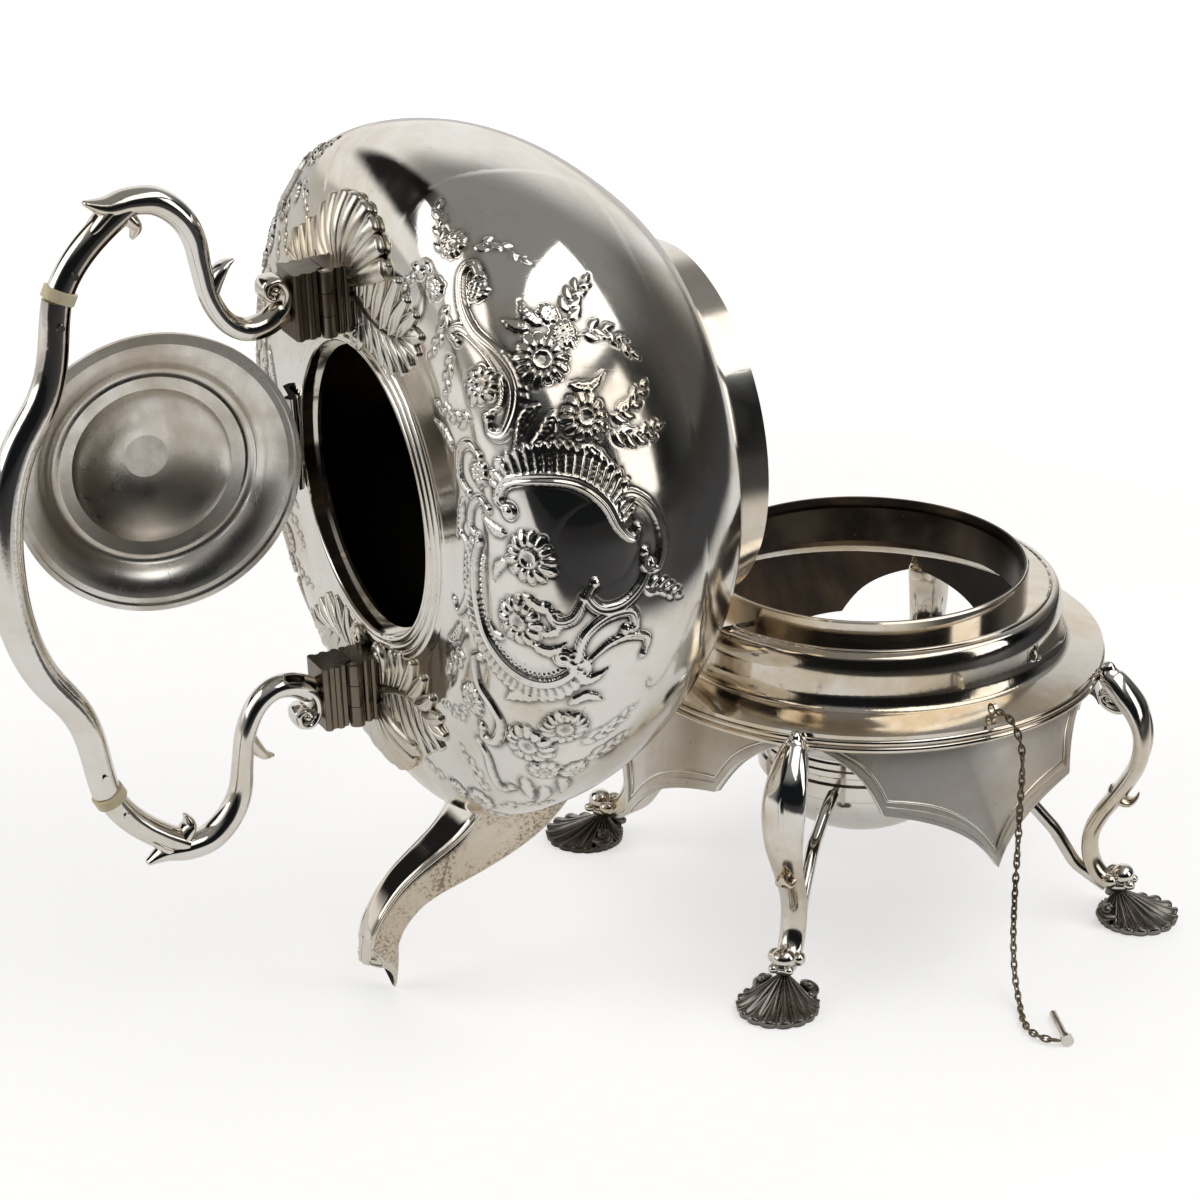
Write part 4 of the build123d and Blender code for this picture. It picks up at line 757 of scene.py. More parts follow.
def draw_ornament(relief):
    """Scrolls, ruffles, flowers and sprays round a blank cartouche, on one flank."""
    ruffle, scroll, leaf = relief.ruffle, relief.scroll, relief.leaf
    spray, blossom, beads = relief.spray, relief.blossom, relief.beads
    relief.dish((82, 76), 15, 15, 0.5)
    # upper scrolls, rear of the cartouche
    ruffle([(61, 49), (60, 56), (57, 60.5), (52.5, 60.5), (48, 57)], -1, 3.4, 13, 0.7)
    scroll([(36.6, 62.4), (33.9, 62.6), (34.2, 58.2), (38.6, 54.2), (44.0, 54.2), (49.4, 58.6),
            (54.3, 60.8), (58.6, 58.6), (61.9, 53.2), (60.9, 48.8), (58.4, 49.6)], 3.6, 1.5)
    scroll([(43.8, 47.6), (41.4, 46.4), (42.0, 50.4), (45.6, 54.0), (49.4, 56.6), (53.4, 57.8),
            (57.0, 55.6), (57.8, 51.4)], 2.6, 1.1)
    blossom((52.8, 50.6), 5.4, 10, 1.1, 1.25)
    blossom((38.4, 60.4), 3.6, 8, 0.9)
    blossom((28.6, 60.0), 4.4, 9, 0.9)
    blossom((32.6, 48.4), 3.4, 8, 0.8)
    spray([(30, 56), (25.5, 58), (20.5, 63)], 7, 4.6)
    spray([(30, 50), (26.5, 45), (25.5, 38)], 6, 4.0)
    spray([(37, 50), (40, 43), (41, 34)], 7, 4.2)
    spray([(45, 44), (47.6, 38), (52, 33)], 6, 3.6)
    spray([(31, 64), (32, 71), (36, 77)], 6, 4.4)
    # flowers over the cartouche
    spray([(48, 82), (44, 86), (41, 93)], 8, 6.0, 3.0, 0.7)
    spray([(50, 84), (50, 93), (54, 101)], 8, 5.6, 2.8, 0.7)
    spray([(63, 86), (62.6, 93), (59.5, 101)], 8, 5.4, 2.8, 0.7)
    spray([(65, 85), (67, 93), (66.4, 103)], 9, 5.6, 2.8, 0.7)
    leaf([(47.5, 74), (45.2, 71), (42.6, 70.4)], 4.4, 0.9)
    leaf([(47.5, 70), (46.0, 66), (44.6, 63.4)], 4.4, 0.9)
    leaf([(57.2, 76), (58.2, 82), (56.4, 88)], 4.6, 0.9)
    leaf([(60.5, 70), (63.4, 66), (64.6, 60.6)], 5.4, 1.0)
    leaf([(59, 66), (60.4, 61), (64.5, 56)], 4.6, 0.9)
    leaf([(66.4, 76), (68.6, 80), (71.4, 84)], 4.6, 0.9)
    blossom((49.4, 79.4), 4.6, 9, 0.9, 1.0, 0.4)
    blossom((45.8, 77.0), 3.4, 8, 0.8)
    blossom((52.6, 70.4), 8.2, 13, 1.4)
    blossom((62.6, 78.2), 7.6, 12, 1.4, 1.0, 0.2)
    # the great ruffle and the cartouche's border
    crest = [(72.4, 47.6), (70.2, 52.4), (70.2, 61.0), (71.8, 70.6), (75.2, 79.2), (79.4, 83.4)]
    ruffle(crest, 1, 11.5, 21, 1.35, 0.5)
    scroll([(74.8, 49.6), (72.6, 46.6), (69.9, 50.6), (70.0, 61.0), (71.8, 71.6), (75.6, 79.0),
            (80.0, 82.6), (82.2, 86.6), (80.6, 88.8)], 4.0, 1.7, 0.5, (1.2, 0.7))
    scroll([(79.2, 83.8), (76.0, 83.0), (75.4, 88.4), (78.6, 95.0), (83.6, 97.8), (88.0, 95.0),
            (87.4, 90.2), (84.8, 90.6)], 3.0, 1.4)
    scroll([(87.0, 92.6), (90.4, 88.0), (92.4, 81.8), (92.2, 74.8), (89.6, 70.8), (87.6, 73.2)],
           3.2, 1.4)
    scroll([(89.8, 69.8), (93.0, 66.6), (93.6, 61.6), (91.0, 58.6)], 2.6, 1.1)
    # lower scrolls, front of the cartouche
    long_scroll = [(81.4, 34.6), (86.0, 31.4), (93.6, 30.8), (101.2, 34.8), (105.0, 43.0),
                   (106.2, 52.6), (105.2, 60.8), (102.4, 66.8), (100.2, 63.6)]
    ruffle(long_scroll, -1, 6.2, 34, 1.0, 0.3, 1.2)
    scroll(long_scroll, 3.6, 1.5, 0.45, (0.9, 1.3))
    beads(long_scroll, 3.0, 1.9, 0.72)
    leaf([(101.4, 66.4), (104.6, 71.4), (103.0, 78.0)], 4.6, 1.0)
    scroll([(101.2, 67.4), (96.4, 69.8), (93.8, 76.6), (94.0, 84.8), (97.0, 86.4), (96.8, 83.0)],
           2.8, 1.3, 0.45, (0.6, 1.2))
    scroll([(100.6, 72.0), (98.6, 77.6), (98.2, 84.6), (99.8, 91.0), (102.6, 89.8)],
           2.2, 1.1, 0.4, (0.5, 1.2))
    spray([(90.6, 88.8), (91.6, 96.0), (94.6, 103.4)], 9, 5.0, 2.4)
    blossom((95.0, 49.4), 8.0, 12, 1.3, 1.0, 0.3)
    blossom((82.9, 54.4), 8.2, 13, 1.45)
    leaf([(89.4, 51), (91.6, 57), (92.0, 63)], 4.0, 0.9)
    leaf([(98.6, 54), (99.2, 59.6), (97.2, 64.6)], 4.2, 0.9)
    leaf([(96.0, 56), (95.6, 60.4), (92.8, 64.4)], 3.4, 0.8)
    leaf([(79.0, 47.4), (78.4, 42.6), (76.0, 38.6)], 4.2, 0.9)
    leaf([(84.0, 46.4), (85.4, 42.4), (88.6, 39.8)], 4.0, 0.9)
    leaf([(99.8, 44.2), (100.2, 40.0), (97.6, 37.0)], 3.4, 0.8)
    # the border near the mouth
    scroll([(74.6, 41.2), (72.6, 38.0), (74.0, 33.4), (78.2, 31.0), (80.4, 34.4)], 2.4, 1.0)
    scroll([(80.6, 24.6), (84.0, 28.6), (90.0, 28.4), (97.0, 25.6), (103.6, 20.2), (101.4, 17.0)],
           2.4, 1.0)
    scroll([(64.6, 42.0), (61.8, 38.6), (62.4, 33.0), (67.6, 30.0), (71.2, 33.2)], 2.6, 1.0)
    leaf([(72, 29), (77, 25.6), (82, 21.4)], 3.8, 0.8)
    leaf([(62, 30), (57.2, 27.4), (53, 22.8)], 3.8, 0.8)
    blossom((67.4, 40.2), 3.8, 8, 0.9)
    spray([(58, 43), (56, 36), (51, 29)], 7, 4.2)
    leaf([(105.6, 22), (110.8, 20.2), (116, 16)], 3.8, 0.8)
    scroll([(108.6, 34.2), (110.8, 31.4), (115.8, 35.6), (117.8, 42.6), (120.4, 47.2),
            (125.8, 47.4), (127.6, 43.2), (125.4, 41.4)], 3.0, 1.3)
    blossom((121.6, 34.2), 5.4, 11, 1.1)
    scroll([(130.2, 42.4), (131.6, 47.0), (135.2, 51.4), (137.6, 56.4), (135.2, 58.6)], 2.6, 1.1)
    spray([(126.4, 35.4), (131.0, 31.4), (135.6, 26)], 6, 4.0)
    spray([(113, 27), (118.6, 22.6), (125, 20.6)], 6, 4.0)
    # the lower spray of flowers
    spray([(118, 72), (117.4, 80), (114, 88.6)], 9, 5.4, 2.6)
    spray([(124, 76), (122.6, 83), (120.6, 88.6)], 7, 4.6, 2.4)
    leaf([(109.4, 57), (110.6, 50.6), (113.6, 46.4)], 5.0, 1.0)
    leaf([(109.4, 66), (107.8, 71.6), (109.6, 77.6)], 4.4, 0.9)
    leaf([(128.6, 70), (131.4, 73.4), (135.8, 74.6)], 4.4, 0.9)
    leaf([(129.8, 60), (133.4, 62.6), (137.6, 66.8)], 4.2, 0.9)
    leaf([(131.6, 66.6), (135.6, 69.4), (140.6, 69.0)], 4.2, 0.8)
    blossom((126.6, 74.0), 4.4, 9, 0.9)
    blossom((126.4, 64.8), 4.8, 9, 1.0)
    blossom((114.6, 66.6), 7.2, 14, 1.3, 1.0, 0.2)
    blossom((120.8, 57.4), 7.8, 12, 1.3, 1.0, 0.5)
    blossom((147.4, 55.4), 4.6, 9, 1.0)
    blossom((152.4, 49.6), 3.8, 8, 0.9)
    spray([(143.6, 53.6), (139.6, 48.0), (138.4, 40)], 7, 4.2)
    spray([(150, 60), (151.8, 66), (156.4, 70.6)], 7, 4.2)
    spray([(145, 60), (141.0, 66.2), (140.4, 73.6)], 7, 4.2)
    spray([(154.8, 46), (158.6, 41.6), (160.6, 35)], 6, 3.6)


def chased_skin(name, first, last):
    """Thin chased skins over the body between two turns, one on each flank."""
    reaches = np.linspace(SKIN_TOP, SKIN_FOOT, SKIN_ROWS)
    outline = bmesh.new()
    row_layer = outline.verts.layers.int.new("row")
    outer = on_body(0.0, reaches)
    inner = (outer - leaning(0.0, reaches) * SKIN_SUNK)[::-INNER_STEP]
    ring = []
    for place in outer:
        ring.append(outline.verts.new(place * MM))
        ring[-1][row_layer] = len(ring)
    for place in inner:
        ring.append(outline.verts.new(place * MM))
    edges = [outline.edges.new(pair) for pair in zip(ring, ring[1:] + ring[:1])]
    bmesh.ops.rotate(outline, cent=(0, 0, 0), verts=ring,
                     matrix=Matrix.Rotation(math.radians(first), 3, "Z"))
    bmesh.ops.spin(outline, geom=ring + edges, axis=(0, 0, 1), cent=(0, 0, 0),
                   angle=math.radians(last - first), steps=SKIN_STEPS)
    ends = [edge for edge in outline.edges if edge.is_boundary]
    bmesh.ops.holes_fill(outline, edges=ends, sides=0)
    for edge in ends:
        edge.smooth = False
    bmesh.ops.recalc_face_normals(outline, faces=outline.faces)
    flank = bpy.data.meshes.new(name)
    outline.to_mesh(flank)
    outline.free()
    count = len(flank.vertices)
    rows = np.zeros(count, int)
    flank.attributes["row"].data.foreach_get("value", rows)
    places = np.zeros(count * 3)
    flank.vertices.foreach_get("co", places)
    places = places.reshape(-1, 3)
    turns = np.degrees(np.arctan2(places[:, 1], places[:, 0]))
    outside = rows > 0
    rows, turns = rows[outside] - 1, turns[outside]
    columns = np.rint((turns - first) / (last - first) * SKIN_STEPS).astype(int)
    relief = Relief(turns, reaches[rows])
    draw_ornament(relief)
    height = relief.heights()
    grid = np.zeros((SKIN_ROWS, SKIN_STEPS + 1))
    grid[rows, columns] = height
    around = spread(grid, 5)
    # Painted shade: the deeper a place lies below its surroundings, the darker it is painted.
    hollow = np.clip((around - grid) / RECESS_DEPTH, 0, 1) ** 1.2
    hollow = 0.5 * hollow + 0.5 * spread(hollow, 1)
    reach = reaches[rows]
    rim = (ease(reach, SKIN_TOP, SKIN_TOP + 3) * (1 - ease(reach, SKIN_FOOT - 6, SKIN_FOOT))
           * ease(turns, FLANK_FIRST, FLANK_FIRST + 2)
           * (1 - ease(turns, FLANK_LAST - 2, FLANK_LAST)))
    lift = SKIN_PROUD * rim - SKIN_HEM * (1 - rim) + height * rim
    places[outside] += leaning(turns, reach) * lift[:, None] * MM
    recess = np.zeros(count)
    recess[outside] = hollow[rows, columns]
    flank.vertices.foreach_set("co", places.ravel())
    flank.attributes.remove(flank.attributes["row"])
    flank.attributes.new("recess", "FLOAT", "POINT").data.foreach_set("value", recess)
    for side, sign in (("far", 1), ("near", -1)):
        skin = bmesh.new()
        skin.from_mesh(flank)
        if side == "far":
            for vert in skin.verts:
                vert.co.y = min(vert.co.y, WIDEST)
        bmesh.ops.scale(skin, vec=(1, sign, 1), verts=skin.verts)
        if sign < 0:
            bmesh.ops.reverse_faces(skin, faces=skin.faces)
        bmesh.ops.transform(skin, matrix=KETTLE, verts=skin.verts)
        piece("chased_skin_" + name + "_" + side, skin, SILVER_CHASED, "kettle")
    bpy.data.meshes.remove(flank)


def spread(grid, reach):
    """Each value averaged with those around it."""
    padded = np.pad(grid, reach, mode="edge")
    total = np.cumsum(np.cumsum(padded, 0), 1)
    total = np.pad(total, ((1, 0), (1, 0)))
    size = 2 * reach + 1
    return (total[size:, size:] - total[:-size, size:] - total[size:, :-size]
            + total[:-size, :-size]) / size ** 2


chased_skin("rear", FLANK_FIRST, FLANK_MIDDLE)
chased_skin("front", FLANK_MIDDLE, FLANK_LAST)


# ---- cast limbs -------------------------------------------------------------------------------
ENDS = ((0.98, 0.25), (0.86, 0.52), (0.62, 0.78), (0.3, 0.95), (0.06, 1.0))


def limb(solid, rows, place, side=None, rise=None, keen=2.3, blunt=2.3, sides=16, per=5):
    """A closed cast bar through rows of (x, y, z, half depth, half width) in mm.

    Its width lies along side, or its depth along what rise gives for a place.
    keen and blunt shape the face on the depth's side and the one behind it.
    """
    rows = smooth_rows(rows, per)
    ways = np.gradient(rows[:, :3], axis=0)
    ways /= np.linalg.norm(ways, axis=1)[:, None]
    stations = [(row, way, 1.0, 0.0) for row, way in zip(rows, ways)]
    stations = ([(rows[0], ways[0], size, -out) for size, out in reversed(ENDS)] + stations
                + [(rows[-1], ways[-1], size, out) for size, out in ENDS])
    ring, edges, last = None, None, None
    for row, way, size, out in stations:
        way = Vector(way)
        if side:
            across = Vector(side)
            deep = across.cross(way).normalized()
        else:
            across = way.cross(rise(Vector(row[:3]))).normalized()
            deep = across.cross(way)
        middle = Vector(row[:3]) + way * out * min(row[3], row[4])
        turn = Matrix((deep * row[3] * size, across * row[4] * size, way)).transposed().to_4x4()
        frame = place @ Matrix.Scale(MM, 4) @ Matrix.Translation(middle) @ turn
        if ring is None:
            ring = bmesh.ops.create_circle(solid, cap_ends=True, radius=1, segments=sides)["verts"]
            for vert in ring:
                cosine, sine = abs(vert.co.x), abs(vert.co.y)
                power = keen if vert.co.x > 0 else blunt
                vert.co *= (cosine ** power + sine ** power) ** (-1 / power)
            edges = edges_of(ring)
            bmesh.ops.transform(solid, matrix=frame, verts=ring)
        else:
            ring, edges = extruded(solid, edges)
            bmesh.ops.transform(solid, matrix=frame @ last.inverted(), verts=ring)
        last = frame
    bmesh.ops.holes_fill(solid, edges=edges, sides=0)


def ball(solid, middle, sizes, place, rings=10):
    """A rounded knob with its half sizes in mm."""
    made = bmesh.ops.create_uvsphere(solid, u_segments=18, v_segments=rings, radius=1)["verts"]
    shape = Matrix.Translation(Vector(middle)) @ Matrix.Diagonal((*sizes, 1))
    bmesh.ops.transform(solid, matrix=place @ Matrix.Scale(MM, 4) @ shape, verts=made)


def cast(name, solid, material, body, *replaced, slot="silver_plate"):
    """A piece whose faces are turned outwards first."""
    bmesh.ops.recalc_face_normals(solid, faces=solid.faces)
    return piece(name, solid, material, body, *replaced, slot=slot)


def flat_limb(solid, line, place, **shape):
    """A cast bar in the x-z plane through rows of (x, z, half depth, half width) in mm."""
    rows = [(x, 0, z, depth, width) for x, z, depth, width in line]
    limb(solid, rows, place, (0, -1, 0), **shape)


# ---- legs and shell feet ----------------------------------------------------------------------
LEG = [(83.6, 90.6, 2.4, 2.2), (84.6, 87.6, 4.0, 4.2), (88.6, 83.4, 4.4, 5.8),
       (93.4, 77.8, 4.0, 6.8), (96.0, 71.4, 3.2, 7.2), (96.5, 64.6, 2.9, 6.9),
       (95.2, 57.2, 2.9, 6.3), (92.0, 50.2, 2.9, 5.5), (88.0, 43.4, 2.9, 4.9),
       (83.9, 37.0, 2.9, 4.6), (81.0, 29.6, 2.8, 4.4), (81.2, 21.8, 2.8, 4.3),
       (84.2, 15.6, 2.8, 4.2), (89.0, 12.4, 2.7, 3.8), (93.0, 12.2, 2.2, 3.2)]
LEG_SPUR = [(87.4, 46.8, 1.6, 3.6), (90.4, 43.6, 1.7, 3.7), (93.4, 42.9, 1.3, 3.0),
            (95.4, 44.6, 0.8, 1.8), (96.2, 46.8, 0.3, 0.5)]
LEG_VOLUTE = [(91.6, 77.4, 1.4, 3.2), (87.4, 76.6, 1.7, 3.6), (83.4, 78.4, 1.5, 3.8),
              (82.0, 81.2, 1.2, 3.9), (84.6, 82.4, 1.1, 4.0), (85.8, 80.4, 1.0, 4.2)]
LEG_CREST = [(83.0, 89.6, 1.4, 1.2), (89.8, 84.2, 2.1, 1.7), (96.0, 76.4, 2.1, 1.7),
             (98.4, 67.4, 1.6, 1.5), (96.6, 57.0, 1.2, 1.2), (92.8, 48.6, 0.8, 0.8)]
FOOT_APEX, FOOT_MIDDLE, FOOT_R, FOOT_H, FOOT_RIM, FOOT_RIBS = 90.9, 98.2, 13.7, 10.4, 1.3, 22


def shell_foot(solid, place):
    """A scallop shell that fans outwards from under the leg's end."""
    apart = FOOT_MIDDLE - FOOT_APEX
    shares = [0.0, 0.08, 0.17, 0.27, 0.37, 0.47, 0.57, 0.67, 0.76, 0.84, 0.9, 0.95, 1.0]
    line = [solid.verts.new((share, 0, 1)) for share in shares]
    line += [solid.verts.new((share, 0, 0)) for share in (1.0, 0.6, 0.3, 0.0)]
    edges = [solid.edges.new(pair) for pair in zip(line, line[1:])]
    before = set(solid.verts) - set(line)
    bmesh.ops.spin(solid, geom=line + edges, axis=(0, 0, 1), cent=(0, 0, 0), angle=math.tau,
                   steps=FOOT_RIBS * 8, use_merge=True)
    shell = [vert for vert in solid.verts if vert not in before]
    bmesh.ops.remove_doubles(solid, verts=shell, dist=1e-5)
    shell = [vert for vert in solid.verts if vert not in before]
    for vert in shell:
        share = min(math.hypot(vert.co.x, vert.co.y), 1)
        angle = math.atan2(vert.co.y, vert.co.x)
        sweep = apart * math.sin(angle)
        full = apart * math.cos(angle) + math.sqrt(FOOT_R ** 2 - sweep ** 2)
        wave = abs(math.cos(angle * FOOT_RIBS / 2))
        full *= 0.955 + 0.045 * wave ** 0.7
        reach = full * share
        if vert.co.z > 0.5:
            height = FOOT_RIM + (FOOT_H - FOOT_RIM) * (1 - share) ** 1.25 + 1.1 * share ** 7
            ribs = 1.9 * max(math.sin(math.pi * share ** 0.8), 0) ** 0.6 * (wave ** 0.75 - 0.62)
            lip = 0.9 * share ** 6 * (wave - 0.5)
            vert.co = (reach * math.cos(angle), reach * math.sin(angle), height + ribs + lip)
        else:
            vert.co = (reach * math.cos(angle) * 0.97, reach * math.sin(angle) * 0.97, 0)
    shift = Matrix.Translation((FOOT_APEX, 0, 0))
    bmesh.ops.transform(solid, matrix=place @ Matrix.Scale(MM, 4) @ shift, verts=shell)


def legs_and_feet():
    for number, name in enumerate(LEGS):
        turn = Matrix.Rotation(math.radians(45 + 90 * number), 4, "Z")
        leg = bmesh.new()
        flat_limb(leg, LEG, turn, keen=1.75, blunt=2.6, sides=28)
        flat_limb(leg, LEG_CREST, turn, keen=1.6, sides=12)
        flat_limb(leg, LEG_SPUR, turn, keen=2.0)
        flat_limb(leg, LEG_VOLUTE, turn, sides=14)
        ball(leg, (84.6, 0, 80.6), (1.5, 4.5, 1.5), turn)
        ball(leg, (92.4, 0, 15.6), (3.9, 4.2, 3.6), turn, 14)
        for flank in (-1, 1):
            ball(leg, (88.6, 4.1 * flank, 14.4), (2.7, 2.2, 2.4), turn)
            ball(leg, (95.2, 2.6 * flank, 13.2), (2.0, 1.7, 1.6), turn)
        cast("cabriole_leg_" + name, leg, SILVER_LEG, "stand", "leg_" + name)
        foot = bmesh.new()
        shell_foot(foot, turn)
        for flank in (-1, 1):
            curl = [(91.5, 8.6 * flank, 3.4, 1.3, 1.6), (88.6, 9.4 * flank, 3.6, 1.4, 1.8),
                    (87.0, 7.8 * flank, 4.4, 1.4, 1.8), (88.2, 6.2 * flank, 5.6, 1.3, 1.6),
                    (90.0, 6.6 * flank, 6.4, 1.1, 1.4)]
            limb(foot, curl, turn, rise=lambda place: Vector((0, 0, 1)), sides=12)
            ball(foot, (89.0, 7.6 * flank, 5.4), (1.9, 1.9, 1.9), turn)
        cast("shell_foot_" + name, foot, SILVER_DARK, "stand", "foot_" + name,
             slot="oxidised_plate")


legs_and_feet()


# ---- handle arms ------------------------------------------------------------------------------
ARM = [(62.6, 134.2, 4.2, 3.8), (59.9, 139.2, 3.9, 4.1), (59.6, 145.6, 3.5, 4.2),
       (63.6, 151.6, 3.2, 4.2), (72.0, 156.0, 3.1, 4.2), (82.2, 157.9, 3.2, 4.3),
       (91.4, 159.4, 3.6, 4.5), (99.0, 163.4, 4.0, 4.7), (104.6, 170.2, 4.3, 4.8),
       (106.0, 178.2, 4.1, 4.7), (105.6, 185.2, 3.1, 4.2), (107.8, 191.4, 1.0, 1.8)]
ARM_VOLUTE = [(60.8, 136.6, 1.9, 3.8), (64.4, 132.9, 1.7, 4.3), (69.6, 132.2, 1.6, 4.5),
              (73.4, 134.8, 1.5, 4.6), (73.0, 138.4, 1.4, 4.6), (69.6, 139.2, 1.3, 4.5),
              (68.2, 136.6, 1.2, 4.5), (70.2, 135.2, 1.1, 4.6)]
ARM_SPUR = [(71.6, 156.2, 2.4, 3.4), (76.6, 154.0, 2.4, 3.6), (80.6, 151.0, 1.7, 3.2),
            (82.0, 147.8, 0.6, 1.2)]
ARM_HOOK = [(105.0, 182.0, 2.6, 3.8), (101.0, 178.8, 2.4, 4.0), (98.0, 177.0, 1.8, 3.6),
            (95.0, 178.2, 0.7, 1.6)]
ARM_LEAF = [(106.2, 182.6, 1.8, 3.8), (103.4, 186.4, 1.9, 4.3), (99.6, 190.6, 1.5, 3.8),
            (96.6, 194.4, 0.6, 1.2)]


def handle_arms():
    for end, sign in (("rear", 1), ("front", -1)):
        arm = bmesh.new()
        place = KETTLE @ Matrix.Diagonal((sign, 1, 1, 1))
        flat_limb(arm, ARM, place, keen=2.1, blunt=2.1, sides=24)
        flat_limb(arm, ARM_VOLUTE, place, keen=2.6, sides=14)
        for line in (ARM_SPUR, ARM_HOOK, ARM_LEAF):
            flat_limb(arm, line, place, sides=14)
        ball(arm, (70.6, 0, 136.2), (1.9, 4.7, 1.9), place)
        cast("scrolled_arm_" + end, arm, SILVER_HANDLE, "handle", "handle_arm_" + end)


handle_arms()


# ---- leaf and shell mounts --------------------------------------------------------------------
def crown_at(x, y):
    """The body's height under a place on its crown, in mm."""
    return float(np.interp(math.hypot(x, y), RADIUS[:BELLY], HEIGHT[:BELLY]))


def body_rise(place):
    radius = math.hypot(place.x, place.y)
    lean = (crown_at(radius - 1, 0) - crown_at(radius + 1, 0)) / 2
    return Vector((place.x / radius * lean, place.y / radius * lean, 1)).normalized()


def laid(spots, lift, flank):
    """Rows that lie on the crown, on either flank, from (x, y, half depth, half width)."""
    return [(x, flank * y, crown_at(x, y) + lift * depth, depth, width)
            for x, y, depth, width in spots]


LEAF_VEIN = [(66, 5), (62.5, 14), (60.0, 24), (60.4, 34), (63.0, 44)]
LEAF_LOBES = [((65, 7), (58.0, 9.5), (53.6, 6.6)), ((63.6, 11), (56.0, 14.6), (50.4, 13.0)),
              ((62, 15), (54.6, 20), (48.4, 20.4)), ((60.6, 20), (53.8, 26), (48.0, 28.6)),
              ((60.0, 26), (55.2, 32), (50.2, 36.4)), ((60.2, 32), (57.6, 38.4), (54.4, 42.4)),
              ((61.4, 37), (60.8, 43.0), (59.2, 47.4)), ((62.6, 40), (64.4, 44.6), (65.0, 48.6)),
              ((61.6, 36), (66.6, 40.0), (70.6, 44.6)), ((60.6, 30), (67.4, 34.0), (73.6, 38.6)),
              ((60.4, 24), (68.4, 28.0), (77.6, 32.4)), ((61.4, 18), (70.4, 22.0), (80.6, 25.4)),
              ((63.0, 13), (72.4, 16.0), (82.0, 17.8)), ((65.0, 8), (73.0, 10.0), (80.6, 10.4))]
LEAF_SCROLL = [(57.0, 10, 1.3, 1.2), (52.4, 11.0, 1.6, 1.5), (50.2, 8.0, 1.6, 1.6),
               (52.2, 5.2, 1.5, 1.5), (55.0, 6.6, 1.3, 1.3)]
# The shell between the leaves: flutes that fan out from a place beyond the handle's block.
SHELL_X, SHELL_FLUTES, SHELL_HALF_FAN, SHELL_PITCH = 66, 9, 62, 15.5
FLUTE = ((9, 2.0, 1.5), (17, 2.2, 2.6), (24, 2.1, 3.5), (28, 1.7, 3.6))


def leaf_mounts():
    for end, sign in (("rear", 1), ("front", -1)):
        mount = bmesh.new()
        place = KETTLE @ Matrix.Diagonal((sign, 1, 1, 1))
        for flank in (-1, 1):
            vein = [(x, y, 1.7 - 0.02 * y, 2.3 - 0.03 * y) for x, y in LEAF_VEIN]
            limb(mount, laid(vein, 0.8, flank), place, rise=body_rise, keen=1.8, sides=12)
            for root, middle, tip in LEAF_LOBES:
                lobe = [(*root, 1.3, 1.5), (*middle, 1.5, 3.0), (*tip, 1.1, 1.7)]
                limb(mount, laid(lobe, 0.55, flank), place, rise=body_rise, keen=1.7, sides=12,
                     per=4)
                ridge = [(*root, 0.6, 0.5), (*middle, 0.8, 0.6), (*tip, 0.5, 0.4)]
                limb(mount, laid(ridge, 2.6, flank), place, rise=body_rise, sides=6, per=4)
            limb(mount, laid(LEAF_SCROLL, 1.6, flank), place, rise=body_rise, sides=10)
            ball(mount, (53.0, flank * 8.0, crown_at(53, 8) + 2.6), (1.9, 1.9, 1.9), place)
        for number in range(SHELL_FLUTES):
            swing = math.radians(-SHELL_HALF_FAN + SHELL_PITCH * number)
            flute = []
            for reach, depth, width in FLUTE:
                x, y = SHELL_X + reach * math.cos(swing), reach * math.sin(swing)
                lift = 1.0 + 1.6 * math.sin(math.pi * reach / 30)
                flute.append((x, y, crown_at(x, y) + lift, depth, width))
            limb(mount, flute, place, rise=body_rise, keen=1.9, sides=12, per=4)
        cast("leaf_mount_" + end, mount, SILVER_MOUNT, "kettle", "mount_" + end)


leaf_mounts()


# ---- spout ------------------------------------------------------------------------------------
SPOUT = [(-92.0, 61.5, 50.0), (-104.0, 63.6, 45.0), (-112.0, 66.2, 40.0), (-119.0, 70.6, 34.0),
         (-125.2, 76.4, 28.0), (-130.6, 83.6, 22.8), (-134.6, 91.2, 19.6), (-138.0, 98.4, 17.2),
         (-142.0, 105.0, 15.4), (-147.0, 110.2, 14.3), (-152.0, 113.8, 13.8), (-157.2, 116.2, 13.6)]
SPOUT_LIP, SPOUT_TIP = np.array((-163.4, 123.4)), np.array((-176.35, 112.0))
SPOUT_SIDES, SPOUT_WALL, MOUTH_HALF, MOUTH_CUT = 56, 1.2, 6.5, 4.6
FACETS = ((0, 0.87), (80, 0.93), (-80, 0.93), (150, 0.93), (-150, 0.93))
RUBBED = (0.72, 0.86)                   # the rubbed side panels begin this far round, in radians
LIP_CURL = ((-5, 7), (-4, 10), (-2, 11), (-1, 8), (-2, 5), (-3, 6), (-3, 8))    # ring, corner


def facet_reach(angle, crisp):
    """The spout's radius at an angle from its top, as a share: panelled where crisp is 1."""
    power = 5 + 9 * crisp
    total = sum(max(math.cos(angle - math.radians(turn)) / flat, 0) ** power
                for turn, flat in FACETS)
    return 1 + crisp * (min(total ** (-1 / power), 1.08) - 1)


